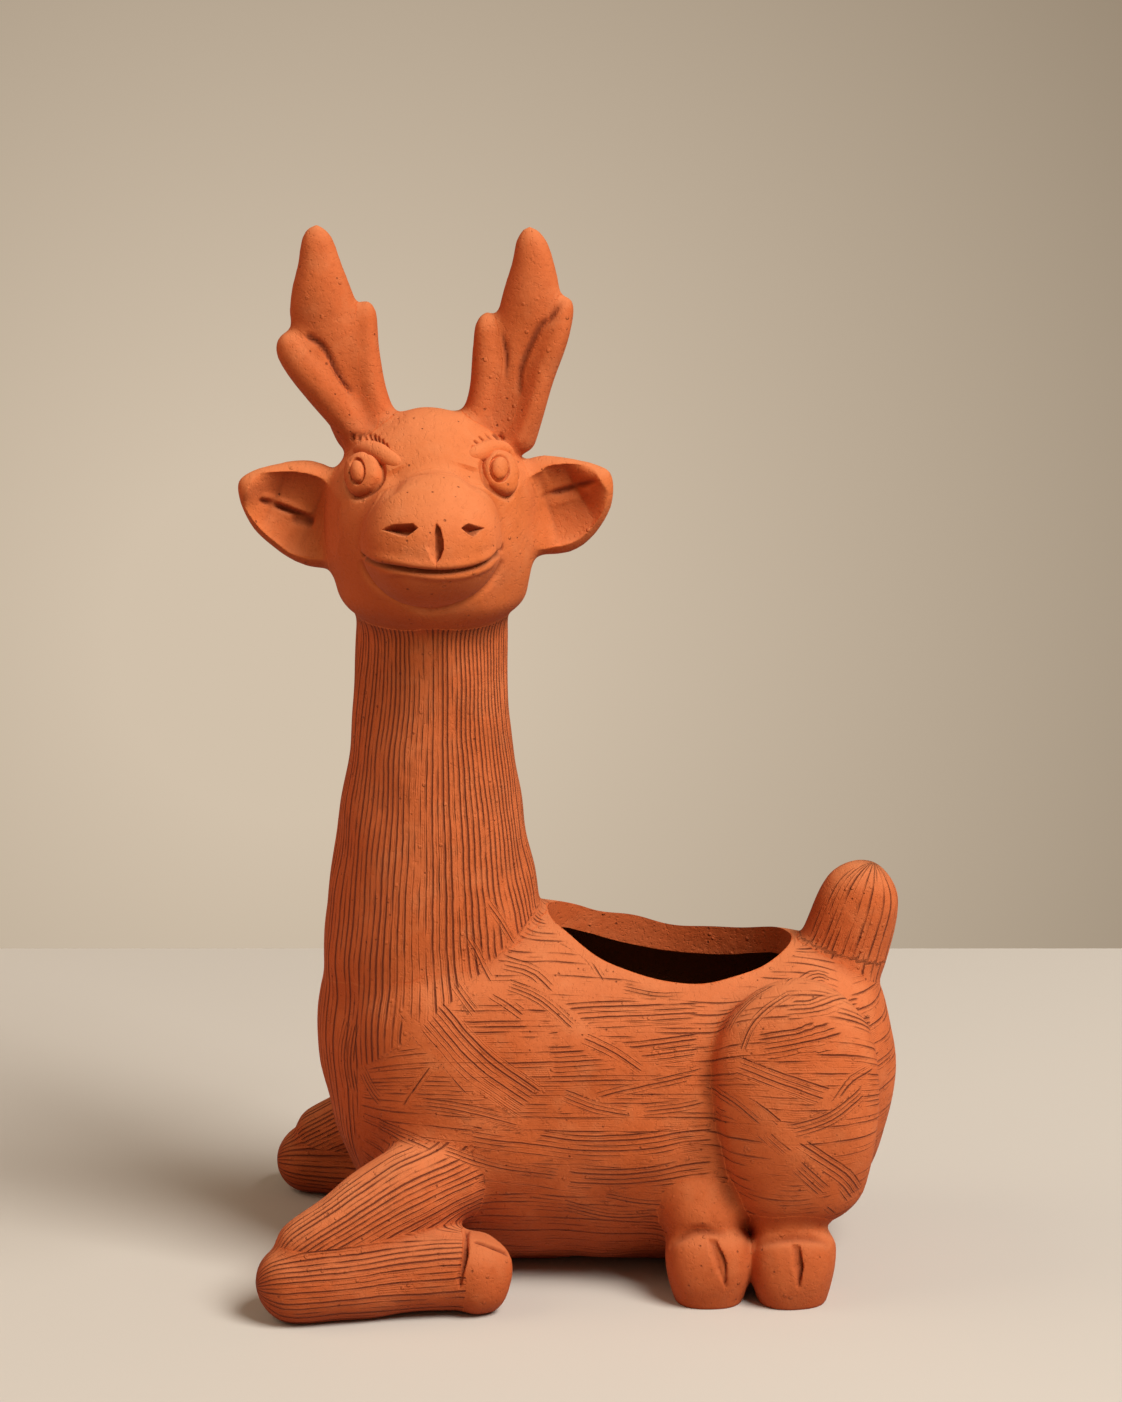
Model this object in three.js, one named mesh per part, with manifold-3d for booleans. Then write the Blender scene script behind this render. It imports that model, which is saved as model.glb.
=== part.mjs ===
// A hand-built terracotta planter in the form of a lying deer.
// The body is a hollow pot with an oval planting mouth in its back and a drain hole in its base.
// The neck is a tube that opens into the pot below it and into the hollow head above it.
// Muzzle, ears, antlers, eyes, brows, legs, hooves and tail are lumps of the same clay, shaped one
// by one and luted on while soft, so each is a solid of its own that seats on its neighbour.
// Millimetres, +Z up. The pot lies along X with its rump at +X, and the face looks along -Y.
// Left and right are the deer's own: the head's left is +X, and the body's left flank looks along -Y.

import * as THREE from "three";
import { mergeVertices } from "three/addons/utils/BufferGeometryUtils.js";
import Module from "manifold-3d";

// The seam between two luted pieces, and the clay walls of the hollow ones
const lutingGap = 0.3;
const potWall = 11;
const potFloor = 12;
const neckWall = 9;
const headWall = 9;
const earWall = 7;

// The pot: a long rounded hollow body, high at the shoulder and round at the rump
const chestX = -108;
const rumpX = 149;
const potHalfWidth = 70;
const chestHeight = 105;
const rumpHeight = 88;
const shoulderHeight = 165;
const saddleHeight = 158;
const backHeight = 150.5;
const croupHeight = 146;
const baseCut = 1.6;

// The planting mouth, an upright oval cut in the back, and the drain hole below it
const mouthX = 48;
const mouthHalfLength = 54;
const mouthHalfWidth = 40;
const farLean = 3;
const groundReach = 900;
const drainX = 30;
const drainRadius = 7;

// The neck, a tapering tube that stands on the shoulder
const neckSetBack = 51;
const neckFootZ = 80;
const neckHeight = 225;
const neckTopHalfWidth = 30;
const neckMiddleHalfWidth = 42;
const neckBaseHalfWidth = 44;
const neckDepthShare = 0.93;
const boreOverrun = 0.08;

// The head, a hollow ball that is widest at the cheeks and sits over the neck's top
const headSeat = 20;
const headForward = 4;
const headHeight = 98;
const headHalfWidth = 46;
const headHalfDepth = 46;
const muzzleHalfWidth = 30;
const muzzleHalfDepth = 34;
const muzzleHalfHeight = 28.5;

// The nose and mouth, pressed and cut into the muzzle
const nostrilHalfWidth = 6;
const nostrilHalfHeight = 3.4;
const nostrilDepth = 6;
const nostrilRise = 0.35;
const lipGrooveRadius = 2.2;
const philtrumHalfWidth = 2.6;
const philtrumDepth = 4;

// The features of the head
const eyePadHalfWidth = 8.2;
const eyePadHeight = 20;
const eyePadRise = 4.5;
const pupilHalfWidth = 4;
const pupilHalfHeight = 4.9;
const pupilRise = 2.6;
const browHalfWidth = 3.8;
const browRise = 3.6;
const earHalfDepth = 11;
const antlerHalfDepth = 11;

// The tail, the legs and the cloven hooves
const tailHalfWidth = 20;
const tailHeight = 58;
const tailSetIn = 24;
const thighHalfLength = 37;
const thighHalfDepth = 22;
const thighSetBack = 48;
const thighInset = 9;
const thighFootZ = 32;
const nearThighDrop = 6;
const farThighDrop = 18;
const frontLegHalfWidth = 16;
const frontLegLength = 98;
const nearLegReach = 10;
const farLegReach = 7;
const nearLegSpread = 18;
const farLegSpread = 7;
const shankHalfWidth = 14;
const frontHoofHalfWidth = 16;
const hindHoofHalfWidth = 18.5;
const hindHoofHeight = 35;
const hindFootInset = 8;
const cleftHalfWidth = 1.5;
const cleftDepth = 4.5;

const clay = new THREE.MeshStandardMaterial({ color: 0xc8602f, roughness: 0.9, metalness: 0 });
const hoofClay = new THREE.MeshStandardMaterial({ color: 0xbd5828, roughness: 0.85, metalness: 0 });

const wasm = await Module();
wasm.setup();

const X_AXIS = new THREE.Vector3(1, 0, 0);
const Y_AXIS = new THREE.Vector3(0, 1, 0);
const Z_AXIS = new THREE.Vector3(0, 0, 1);

// A closed three.js geometry as a manifold solid.
function solid(geometry) {
  const bare = geometry.clone();
  bare.deleteAttribute("normal");
  bare.deleteAttribute("uv");
  const merged = mergeVertices(bare, 1e-4);
  return new wasm.Manifold(
    new wasm.Mesh({
      numProp: 3,
      vertProperties: new Float32Array(merged.attributes.position.array),
      triVerts: new Uint32Array(merged.index.array),
    }),
  );
}

// A manifold solid as a named three.js mesh.
function mesh(name, body, material) {
  const made = body.getMesh();
  const positions = new Float32Array(made.numVert * 3);
  for (let i = 0; i < made.numVert; i += 1) {
    for (let k = 0; k < 3; k += 1) {
      positions[3 * i + k] = made.vertProperties[made.numProp * i + k];
    }
  }
  const geometry = new THREE.BufferGeometry();
  geometry.setAttribute("position", new THREE.BufferAttribute(positions, 3));
  geometry.setIndex(new THREE.BufferAttribute(new Uint32Array(made.triVerts), 1));
  geometry.computeVertexNormals();
  const result = new THREE.Mesh(geometry, material);
  result.name = name;
  return result;
}

// Cuts a solid by each of a list of other solids.
function cut(body, ...tools) {
  return tools.reduce((left, tool) => left.subtract(tool), body);
}

// Smooth reading of a short list of values, evenly spread from 0 to 1.
function blendValues(values, t) {
  const points = values.map((value, i) => new THREE.Vector3(i, value, 0));
  return new THREE.CatmullRomCurve3(points, false, "catmullrom", 0.5).getPoint(t).y;
}

// A lump of clay is described by a shape:
// points is its spine, wide and deep are the half sizes along it, round the lengths of its round ends,
// deepAxis is the direction of the deep half size, and square over 2 fills the corners of its section.
// Its sections lie square to the spine, or to upright where that is given.
function spineOf(shape) {
  const knots = shape.points.map((p) => new THREE.Vector3(...p));
  return new THREE.CatmullRomCurve3(knots, false, "catmullrom", 0.5);
}

// The oval section of a lump at a share of its length, swollen by grow.
function sectionAt(shape, spine, share, grow) {
  const { wide, deep, round, deepAxis = Y_AXIS, upright } = shape;
  const length = spine.getLength();
  const full = length + 2 * grow;
  const along = share * full - grow;
  const t = THREE.MathUtils.clamp(along / length, 0, 1);
  const tangent = upright ?? spine.getTangent(t).normalize();
  const centre = spine.getPoint(t).addScaledVector(tangent, along - t * length);
  const fromStart = Math.min(1, (share * full) / Math.max(round[0] + grow, 1));
  const fromEnd = Math.min(1, ((1 - share) * full) / Math.max(round[1] + grow, 1));
  const cap = Math.sqrt(1 - (1 - fromStart) ** 2) * Math.sqrt(1 - (1 - fromEnd) ** 2);
  const side = new THREE.Vector3().crossVectors(deepAxis, tangent).normalize();
  return {
    centre,
    side,
    up: new THREE.Vector3().crossVectors(tangent, side),
    halfWide: (blendValues(wide, t) + grow) * cap,
    halfDeep: (blendValues(deep, t) + grow) * cap,
  };
}

function pointOfSection(section, angle, square = 2) {
  const c = Math.cos(angle);
  const s = Math.sin(angle);
  const across = section.halfWide * Math.sign(c) * Math.abs(c) ** (2 / square);
  const through = section.halfDeep * Math.sign(s) * Math.abs(s) ** (2 / square);
  return section.centre.clone().addScaledVector(section.side, across).addScaledVector(section.up, through);
}

// The lump itself: rings of points along the spine, closed by a point at each end.
function lump(shape, grow = 0) {
  const { stations = 10, around = 14, square = 2 } = shape;
  const spine = spineOf(shape);
  const positions = [...sectionAt(shape, spine, 0, grow).centre];
  for (let k = 1; k < stations; k += 1) {
    const share = (1 - Math.cos((Math.PI * k) / stations)) / 2;
    const section = sectionAt(shape, spine, share, grow);
    for (let j = 0; j < around; j += 1) {
      positions.push(...pointOfSection(section, (2 * Math.PI * j) / around, square));
    }
  }
  positions.push(...sectionAt(shape, spine, 1, grow).centre);
  const indices = [];
  const rings = stations - 1;
  const ring = (k, j) => 1 + k * around + (j % around);
  const end = 1 + rings * around;
  for (let j = 0; j < around; j += 1) {
    indices.push(0, ring(0, j + 1), ring(0, j));
    indices.push(end, ring(rings - 1, j), ring(rings - 1, j + 1));
    for (let k = 0; k + 1 < rings; k += 1) {
      indices.push(ring(k, j), ring(k, j + 1), ring(k + 1, j));
      indices.push(ring(k, j + 1), ring(k + 1, j + 1), ring(k + 1, j));
    }
  }
  const geometry = new THREE.BufferGeometry();
  geometry.setAttribute("position", new THREE.BufferAttribute(new Float32Array(positions), 3));
  geometry.setIndex(indices);
  return solid(geometry);
}

// A shape swollen by the luting gap, for cutting the seat of a piece that joins it.
function seatOf(shape) {
  return lump(shape, lutingGap);
}

// A place on a lump's skin: the spot, the way out of the clay, and the level and rising ways along it.
function placeOn(shape, share, degrees) {
  const spine = spineOf(shape);
  const read = (s, d) => {
    return pointOfSection(sectionAt(shape, spine, s, 0), THREE.MathUtils.degToRad(d), shape.square);
  };
  const spot = read(share, degrees);
  const alongSkin = read(share + 0.01, degrees).sub(read(share - 0.01, degrees));
  const aroundSkin = read(share, degrees + 2).sub(read(share, degrees - 2));
  const out = aroundSkin.cross(alongSkin).normalize();
  const level = new THREE.Vector3().crossVectors(Z_AXIS, out).normalize();
  const rise = new THREE.Vector3().crossVectors(out, level);
  return { spot, out, level, rise };
}

// A point near a place on the skin, given along its level, rising and outward ways.
function nearPlace(place, level, rise, out) {
  const p = place.spot.clone();
  p.addScaledVector(place.level, level).addScaledVector(place.rise, rise).addScaledVector(place.out, out);
  return [...p];
}

// Adds an offset to each of a list of points.
function offsetFrom(origin, offsets) {
  return offsets.map((offset) => origin.map((value, k) => value + offset[k]));
}

// Everything under a level, for a flat face that stands on the ground.
function blockBelow(z) {
  const geometry = new THREE.BoxGeometry(groundReach, groundReach, groundReach);
  geometry.translate(0, 0, z - groundReach / 2);
  return solid(geometry);
}

// An upright cylinder with an oval section.
function uprightOval(x, halfLength, halfWidth, bottom, top, sides) {
  const geometry = new THREE.CylinderGeometry(1, 1, top - bottom, sides);
  geometry.rotateX(Math.PI / 2);
  geometry.scale(halfLength, halfWidth, 1);
  geometry.translate(x, 0, (bottom + top) / 2);
  return solid(geometry);
}

const ground = blockBelow(0);

// The pot's outside and its hollow, from chest to rump
const potAt = (share, height, lean) => [chestX + share * (rumpX - chestX), lean * farLean, height];
const potShape = {
  points: [
    potAt(0, chestHeight, 0),
    potAt(0.2, (shoulderHeight - baseCut) / 2, 0.3),
    potAt(0.4, (saddleHeight - baseCut) / 2, 1),
    potAt(0.6, (backHeight - baseCut) / 2, 1),
    potAt(0.8, (croupHeight - baseCut) / 2, 0.7),
    potAt(1, rumpHeight, 0),
  ],
  wide: [
    0.76 * chestHeight,
    (shoulderHeight + baseCut) / 2,
    (saddleHeight + baseCut) / 2,
    (backHeight + baseCut) / 2,
    (croupHeight + baseCut) / 2,
    0.84 * rumpHeight,
  ],
  deep: [0.6, 0.88, 0.98, 1, 0.97, 0.8].map((share) => share * potHalfWidth),
  round: [54, 60],
  stations: 20,
  around: 26,
  square: 2.15,
  upright: X_AXIS,
};
const potHollow = { ...potShape, stations: 12, around: 18 };
const potSeat = seatOf(potShape);

// The neck and its bore, which opens into the pot below and the head above
const neckX = chestX + neckSetBack;
const neckTopZ = neckFootZ + neckHeight;
const neckAt = (share, lean) => [neckX + lean, 0, neckFootZ + share * neckHeight];
const neckHalfWidths = [
  neckBaseHalfWidth,
  1.12 * neckBaseHalfWidth,
  neckMiddleHalfWidth,
  1.12 * neckTopHalfWidth,
  neckTopHalfWidth,
];
const neckShape = {
  points: [neckAt(0, 2), neckAt(0.25, 1), neckAt(0.5, 0), neckAt(0.75, 0), neckAt(1, 1)],
  wide: neckHalfWidths,
  deep: neckHalfWidths.map((half) => neckDepthShare * half),
  round: [8, 8],
  stations: 12,
  around: 22,
};
const neckBore = lump(
  {
    ...neckShape,
    points: [neckAt(0, 2), neckAt(0.25, 1), neckAt(0.5, 0), neckAt(0.75, 0), neckAt(1 + boreOverrun, 1)],
    stations: 8,
    around: 16,
  },
  -neckWall,
);
const neckSeat = seatOf(neckShape);

// The head and its cavity
const headX = neckX + 1;
const headY = -headForward;
const headBottomZ = neckTopZ - headSeat;
const headTopZ = headBottomZ + headHeight;
const headShape = {
  points: [0, 0.2, 0.4, 0.6, 0.8, 1].map((share) => [headX, headY, headBottomZ + share * headHeight]),
  wide: [0.8, 0.87, 0.99, 0.98, 0.88, 0.74].map((share) => share * headHalfWidth),
  deep: [0.74, 0.92, 1, 1, 0.92, 0.74].map((share) => share * headHalfDepth),
  round: [18, 38],
  stations: 13,
  around: 22,
};
const headSeatCut = seatOf(headShape);

const pot = cut(
  lump(potShape),
  ground,
  lump(potHollow, -potWall).subtract(blockBelow(potFloor)),
  uprightOval(mouthX, mouthHalfLength, mouthHalfWidth, backHeight / 2, 2 * backHeight, 40),
  uprightOval(drainX, drainRadius, drainRadius, -potFloor, 2 * potFloor, 20),
  neckBore,
);
const neck = cut(lump(neckShape), potSeat, headSeatCut, neckBore);
const head = cut(lump(headShape), lump({ ...headShape, stations: 9, around: 14 }, -headWall), neckBore);

// The muzzle, a ball on the front of the face, with a smiling lip groove, two nostrils and a philtrum
const muzzleX = headX + 1.5;
const muzzleY = headY - headHalfDepth;
const muzzleZ = headBottomZ + 0.5 * headHeight;
const muzzleShape = {
  points: [1, 0, -1].map((share) => [muzzleX, muzzleY + share * muzzleHalfDepth, muzzleZ]),
  wide: [muzzleHalfWidth, muzzleHalfWidth],
  deep: [muzzleHalfHeight, muzzleHalfHeight],
  round: [muzzleHalfDepth, muzzleHalfDepth],
  stations: 12,
  around: 18,
  deepAxis: Z_AXIS,
};
const muzzleSeat = seatOf(muzzleShape);
const onMuzzle = (across, rise, out = 0) => {
  const x = across * muzzleHalfWidth;
  const z = rise * muzzleHalfHeight;
  const y = muzzleHalfDepth * Math.sqrt(1 - across ** 2 - rise ** 2) + out;
  return [muzzleX + x, muzzleY - y, muzzleZ + z];
};
const lipGroove = {
  points: [
    onMuzzle(-0.93, -0.15),
    onMuzzle(-0.5, -0.21),
    onMuzzle(0.05, -0.23),
    onMuzzle(0.6, -0.19),
    onMuzzle(0.92, -0.09),
  ],
  wide: [0.6, 1, 1, 1, 0.6].map((share) => share * lipGrooveRadius),
  deep: [lipGrooveRadius, lipGrooveRadius],
  round: [3, 3],
  stations: 10,
  around: 6,
  deepAxis: Z_AXIS,
};
const nostril = (across) => ({
  points: [2, -nostrilDepth / 2, -nostrilDepth].map((out) => onMuzzle(across, nostrilRise, out)),
  wide: [1, 1, 0.7].map((share) => share * nostrilHalfWidth),
  deep: [1, 1, 0.7].map((share) => share * nostrilHalfHeight),
  round: [1, 3],
  stations: 6,
  around: 8,
  deepAxis: Z_AXIS,
});
const philtrum = {
  points: [onMuzzle(0.1, 0.48), onMuzzle(0.08, 0.2, 0.5), onMuzzle(0.06, -0.12)],
  wide: [0.5, 1, 0.6].map((share) => share * philtrumHalfWidth),
  deep: [0.6, 1, 0.7].map((share) => share * philtrumDepth),
  round: [3, 3],
  stations: 8,
  around: 6,
};
const muzzle = cut(
  lump(muzzleShape),
  headSeatCut,
  lump(lipGroove),
  lump(nostril(-0.36)),
  lump(nostril(0.62)),
  lump(philtrum),
);

// An ear, a thick leaf of clay pinched onto the side of the head and hollowed in front;
// each row is an offset in mm from its root on the cheek, and the half height there
const earRows = {
  right: [[16, 0, -6, 16], [0, 0, -4, 20], [-12, 1, 0, 20], [-24, 0, 6, 15.5], [-38, -2, 15, 6]],
  left: [[-14, 0, -4, 16], [0, 0, 0, 20], [10, 1, 3, 20], [20, 0, 9, 15.5], [32, -2, 19, 6]],
};
function earShape(name) {
  const root = placeOn(headShape, 0.52, name === "left" ? 4 : 176);
  return {
    points: offsetFrom([...root.spot], earRows[name]),
    wide: earRows[name].map((row) => row[3]),
    deep: [1, 1, 1, 0.9, 0.6].map((share) => share * earHalfDepth),
    round: [8, 7],
    stations: 11,
    around: 16,
  };
}
function ear(name) {
  const shape = earShape(name);
  const cup = {
    ...shape,
    points: offsetFrom([0, -0.8 * earHalfDepth, 0], shape.points),
    round: [4, 16],
    stations: 9,
    around: 12,
    deep: shape.deep.map((half) => half + 0.6 * earWall),
  };
  return cut(lump(shape), headSeatCut, lump(cup, -earWall));
}

// The antlers: a beam with an outer and an inner tine;
// each row is an offset in mm from the middle of the crown, and the half width there
const crown = [headX, headY + 9, headTopZ];
const antlerRows = {
  right: {
    beam: [
      [-26, -1, -18, 13],
      [-33, 0, -3, 13],
      [-34, 0, 10, 12.5],
      [-37, 0, 23, 13],
      [-44, 0, 36, 14],
      [-47, 0, 49, 12.8],
      [-48, 0, 62, 8.8],
      [-49, 0, 76.5, 4],
    ],
    outer: [[-26, -5, -17, 9], [-38, -6, -2, 9], [-50, -6, 12, 9], [-58, -5, 23, 8.5], [-64, -4, 31, 6]],
    inner: [[-20, -3, -11, 7], [-25, -2, 6, 6.5], [-27, -1, 23, 5.5], [-28, 0, 45, 4.5]],
  },
  left: {
    beam: [
      [29, -1, -18, 13],
      [33, 0, -3, 13.5],
      [35, 0, 10, 13],
      [38, 0, 23, 12.5],
      [41, 0, 36, 12.8],
      [44, 0, 49, 12],
      [44, 0, 62, 8.6],
      [42, 0, 76.5, 4],
    ],
    outer: [[36, -5, -20, 7.5], [43, -6, -2, 6.5], [49, -6, 18, 7], [55, -5, 34, 6.2], [59, -4, 48, 5]],
    inner: [[18, -3, -12, 8], [23, -2, 5, 7], [25, -1, 21, 7.2], [24, 0, 40, 5]],
  },
};
function antlerPiece(rows, depths, tipRound, stations, around) {
  return {
    points: offsetFrom(crown, rows),
    wide: rows.map((row) => row[3]),
    deep: depths.map((share) => share * antlerHalfDepth),
    round: [6, tipRound],
    stations,
    around,
  };
}
function antlerShapes(rows) {
  return {
    beam: antlerPiece(rows.beam, [1, 1, 0.95, 0.95, 1, 0.95, 0.75, 0.4], 8, 13, 12),
    outer: antlerPiece(rows.outer, [1, 0.95, 0.9, 0.8, 0.55], 8, 9, 10),
    inner: antlerPiece(rows.inner, [1, 0.95, 0.85, 0.55], 7, 8, 10),
  };
}

// An eye: a drop-shaped pad with its point down, and a domed pupil in a ring-shaped socket
function eyeShapes(place, topLean, tipLean, pupilLean) {
  const down = eyePadHeight / 2;
  const pad = {
    points: [
      nearPlace(place, topLean, down, -0.5),
      nearPlace(place, 0, 0, 0),
      nearPlace(place, tipLean, -down - 2, -0.5),
    ],
    wide: [0.95, 1, 0.35].map((share) => share * eyePadHalfWidth),
    deep: [0.7, 1, 0.5].map((share) => share * eyePadRise),
    round: [8, 2],
    stations: 9,
    around: 12,
    deepAxis: place.out,
  };
  const pupilAt = (rise) => nearPlace(place, pupilLean, 1.5 + rise, 0.7 * eyePadRise);
  const pupil = {
    points: [pupilAt(pupilHalfHeight), pupilAt(0), pupilAt(-pupilHalfHeight)],
    wide: [pupilHalfWidth, pupilHalfWidth],
    deep: [pupilRise, pupilRise],
    round: [pupilHalfHeight, pupilHalfHeight],
    stations: 6,
    around: 10,
    deepAxis: place.out,
  };
  return { pad, pupil };
}

// A brow, a thin roll of clay bent over the eye; spots are share and angle pairs on the head
function browShape(spots) {
  const places = spots.map(([share, degrees]) => placeOn(headShape, share, degrees));
  return {
    points: places.map((place) => [...place.spot]),
    wide: [0.6, 1, 1, 1, 0.6].map((share) => share * browHalfWidth),
    deep: [0.6, 1, 1, 1, 0.6].map((share) => share * browRise),
    round: [4, 4],
    stations: 10,
    around: 8,
    deepAxis: places[2].out,
  };
}

const eyes = {
  right: eyeShapes(placeOn(headShape, 0.75, -138), -2, -0.5, -2),
  left: eyeShapes(placeOn(headShape, 0.75, -40), 2.5, 1, 0),
};
const brows = {
  right: browShape([[0.77, -170], [0.85, -160], [0.88, -140], [0.85, -122], [0.78, -108]]),
  left: browShape([[0.79, -68], [0.85, -54], [0.88, -34], [0.84, -14], [0.76, -10]]),
};
const antlers = { right: antlerShapes(antlerRows.right), left: antlerShapes(antlerRows.left) };

// The tail, a stub that stands up from the croup
const tailX = rumpX - tailSetIn;
const tailFootZ = croupHeight - tailSetIn;
const tailShape = {
  points: [[-6, 0], [0, 0.35], [7, 0.7], [13, 1]].map(([lean, share]) => {
    return [tailX + lean, 0, tailFootZ + share * tailHeight];
  }),
  wide: [1, 1, 0.9, 0.55].map((share) => share * tailHalfWidth),
  deep: [0.95, 0.9, 0.8, 0.55].map((share) => share * tailHalfWidth),
  round: [8, 16],
  stations: 10,
  around: 16,
};

// A thigh, the rounded haunch on each flank
function thighShape(side) {
  const x = rumpX - thighSetBack;
  const y = side * (potHalfWidth - thighInset);
  const topZ = croupHeight - (side < 0 ? nearThighDrop : farThighDrop);
  const at = (share) => thighFootZ + share * (topZ - thighFootZ);
  return {
    points: [
      [x + 2, 0.74 * y, at(1)],
      [x + 1, 0.95 * y, at(0.74)],
      [x, y, at(0.5)],
      [x + 1, 0.98 * y, at(0.26)],
      [x + 2, 0.92 * y, at(0)],
    ],
    wide: [0.7, 0.95, 1, 0.9, 0.68].map((share) => share * thighHalfLength),
    deep: [0.75, 0.95, 1, 0.95, 0.8].map((share) => share * thighHalfDepth),
    round: [22, 16],
    stations: 11,
    around: 16,
  };
}

// A front leg: the upper leg comes down from the shoulder to the knee, the lower leg is folded back
function frontLegShapes(side) {
  const y = side * (potHalfWidth + (side < 0 ? nearLegSpread : farLegSpread));
  const kneeX = chestX - (side < 0 ? nearLegReach : farLegReach);
  const r = frontLegHalfWidth;
  const at = (share) => kneeX + share * frontLegLength;
  const upper = {
    points: [
      [at(0.8), 0.5 * y, 3.4 * r],
      [at(0.52), 0.7 * y, 2.9 * r],
      [at(0.235), 0.88 * y, 2.1 * r],
      [at(-0.02), 0.98 * y, 1.25 * r],
    ],
    wide: [1.35, 1.3, 1.1, 0.9].map((share) => share * r),
    deep: [1.2, 1.2, 1, 0.9].map((share) => share * r),
    round: [10, 14],
    stations: 10,
    around: 14,
  };
  const lower = {
    points: [
      [at(-0.14), 1.01 * y, 0.88 * r],
      [at(0.2), 0.96 * y, 0.97 * r],
      [at(0.51), 0.85 * y, 1.05 * r],
      [at(0.82), 0.8 * y, 1.05 * r],
    ],
    wide: [0.95, 1.05, 1.08, 1].map((share) => share * r),
    deep: [1.05, 1.15, 1.3, 1.3].map((share) => share * r),
    round: [14, 6],
    stations: 10,
    around: 14,
    square: 2.3,
  };
  const hoof = {
    points: [
      [at(0.71), 0.86 * y, 1.02 * r],
      [at(0.87), 0.83 * y, 0.98 * r],
      [at(1), 0.76 * y, 0.84 * r],
    ],
    wide: [0.95, 1.05, 0.9].map((share) => share * frontHoofHalfWidth),
    deep: [1.15, 1.2, 1].map((share) => share * frontHoofHalfWidth),
    round: [8, 8],
    stations: 8,
    around: 14,
    square: 2.6,
  };
  const cleft = {
    points: [
      [at(0.82), 0.86 * y + side * 0.8 * r, 1.6 * r],
      [at(0.92), 0.84 * y + side * 0.8 * r, 1.45 * r],
      [at(1.01), 0.8 * y + side * 0.6 * r, 1.2 * r],
    ],
    wide: [0.6, 1, 0.6].map((share) => share * cleftHalfWidth),
    deep: [0.6, 1, 0.8].map((share) => share * 1.4 * cleftDepth),
    round: [3, 3],
    stations: 6,
    around: 6,
  };
  return { upper, lower, hoof, cleft };
}

// The hind feet both come out on the left flank, one beside the other: a shank and a cloven hoof each
const hindFootY = -(potHalfWidth - hindFootInset);
const hindFootX = {
  left: rumpX - thighSetBack,
  right: rumpX - thighSetBack - 2 * hindHoofHalfWidth,
};
function hindFootShapes(x) {
  const h = hindHoofHeight;
  const hoof = {
    points: [
      [x, hindFootY - 1, -6],
      [x, hindFootY - 1, 0.3 * h],
      [x, hindFootY, 0.65 * h],
      [x, hindFootY + 2, h],
    ],
    wide: [0.76, 0.97, 1, 0.85].map((share) => share * hindHoofHalfWidth),
    deep: [0.8, 1, 0.98, 0.8].map((share) => share * hindHoofHalfWidth),
    round: [4, 12],
    stations: 9,
    around: 16,
    square: 2.5,
  };
  const shank = {
    points: [
      [x - 4, hindFootY + 14, 1.8 * h],
      [x - 2, hindFootY + 7, 1.3 * h],
      [x, hindFootY + 1, 0.8 * h],
    ],
    wide: [1.3, 1.35, 1.2].map((share) => share * shankHalfWidth),
    deep: [1.1, 1.15, 1.1].map((share) => share * shankHalfWidth),
    round: [16, 6],
    stations: 8,
    around: 14,
  };
  const cleft = {
    points: [
      [x - 1, hindFootY - 0.8 * hindHoofHalfWidth, 0.95 * h],
      [x, hindFootY - 1.02 * hindHoofHalfWidth, 0.5 * h],
      [x + 1, hindFootY - 1.05 * hindHoofHalfWidth, 0.12 * h],
    ],
    wide: [0.6, 1, 0.7].map((share) => share * cleftHalfWidth),
    deep: [0.8, 1, 0.8].map((share) => share * cleftDepth),
    round: [3, 3],
    stations: 6,
    around: 6,
  };
  return { hoof, shank, cleft };
}

const group = new THREE.Group();
function add(name, body, material = clay) {
  group.add(mesh(name, body, material));
}

add("body_pot", pot);
add("neck", neck);
add("head", head);
add("muzzle", muzzle);

for (const name of ["left", "right"]) {
  add(`${name}_ear`, ear(name));
  const earSeat = seatOf(earShape(name));
  const { beam, outer, inner } = antlers[name];
  const beamSeat = seatOf(beam);
  const outerSeat = seatOf(outer);
  add(`${name}_antler_beam`, cut(lump(beam), headSeatCut, earSeat));
  add(`${name}_antler_outer_tine`, cut(lump(outer), headSeatCut, beamSeat, earSeat));
  add(`${name}_antler_inner_tine`, cut(lump(inner), headSeatCut, beamSeat, outerSeat));
  const { pad, pupil } = eyes[name];
  const padSeat = seatOf(pad);
  const pupilSeat = seatOf(pupil);
  add(`${name}_eye_pad`, cut(lump(pad), headSeatCut, muzzleSeat, pupilSeat));
  add(`${name}_pupil`, cut(lump(pupil), headSeatCut));
  const brow = lump(brows[name]);
  add(`${name}_brow`, cut(brow, headSeatCut, muzzleSeat, padSeat, pupilSeat, beamSeat, outerSeat, earSeat));
}

add("tail", cut(lump(tailShape), potSeat));
const tailSeat = seatOf(tailShape);

const feet = { left: hindFootShapes(hindFootX.left), right: hindFootShapes(hindFootX.right) };
const leftHoofSeat = seatOf(feet.left.hoof);
const rightHoofSeat = seatOf(feet.right.hoof);
const leftShankSeat = seatOf(feet.left.shank);
for (const [name, side] of [["left", -1], ["right", 1]]) {
  const thigh = cut(lump(thighShape(side)), potSeat, tailSeat, leftHoofSeat, rightHoofSeat);
  add(`${name}_thigh`, thigh);
  const { upper, lower, hoof, cleft } = frontLegShapes(side);
  const lowerSeat = seatOf(lower);
  const hoofSeat = seatOf(hoof);
  add(`${name}_front_hoof`, cut(lump(hoof), potSeat, ground, lump(cleft)), hoofClay);
  add(`${name}_front_lower_leg`, cut(lump(lower), potSeat, hoofSeat, ground));
  add(`${name}_front_upper_leg`, cut(lump(upper), potSeat, neckSeat, lowerSeat, hoofSeat, ground));
}

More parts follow.
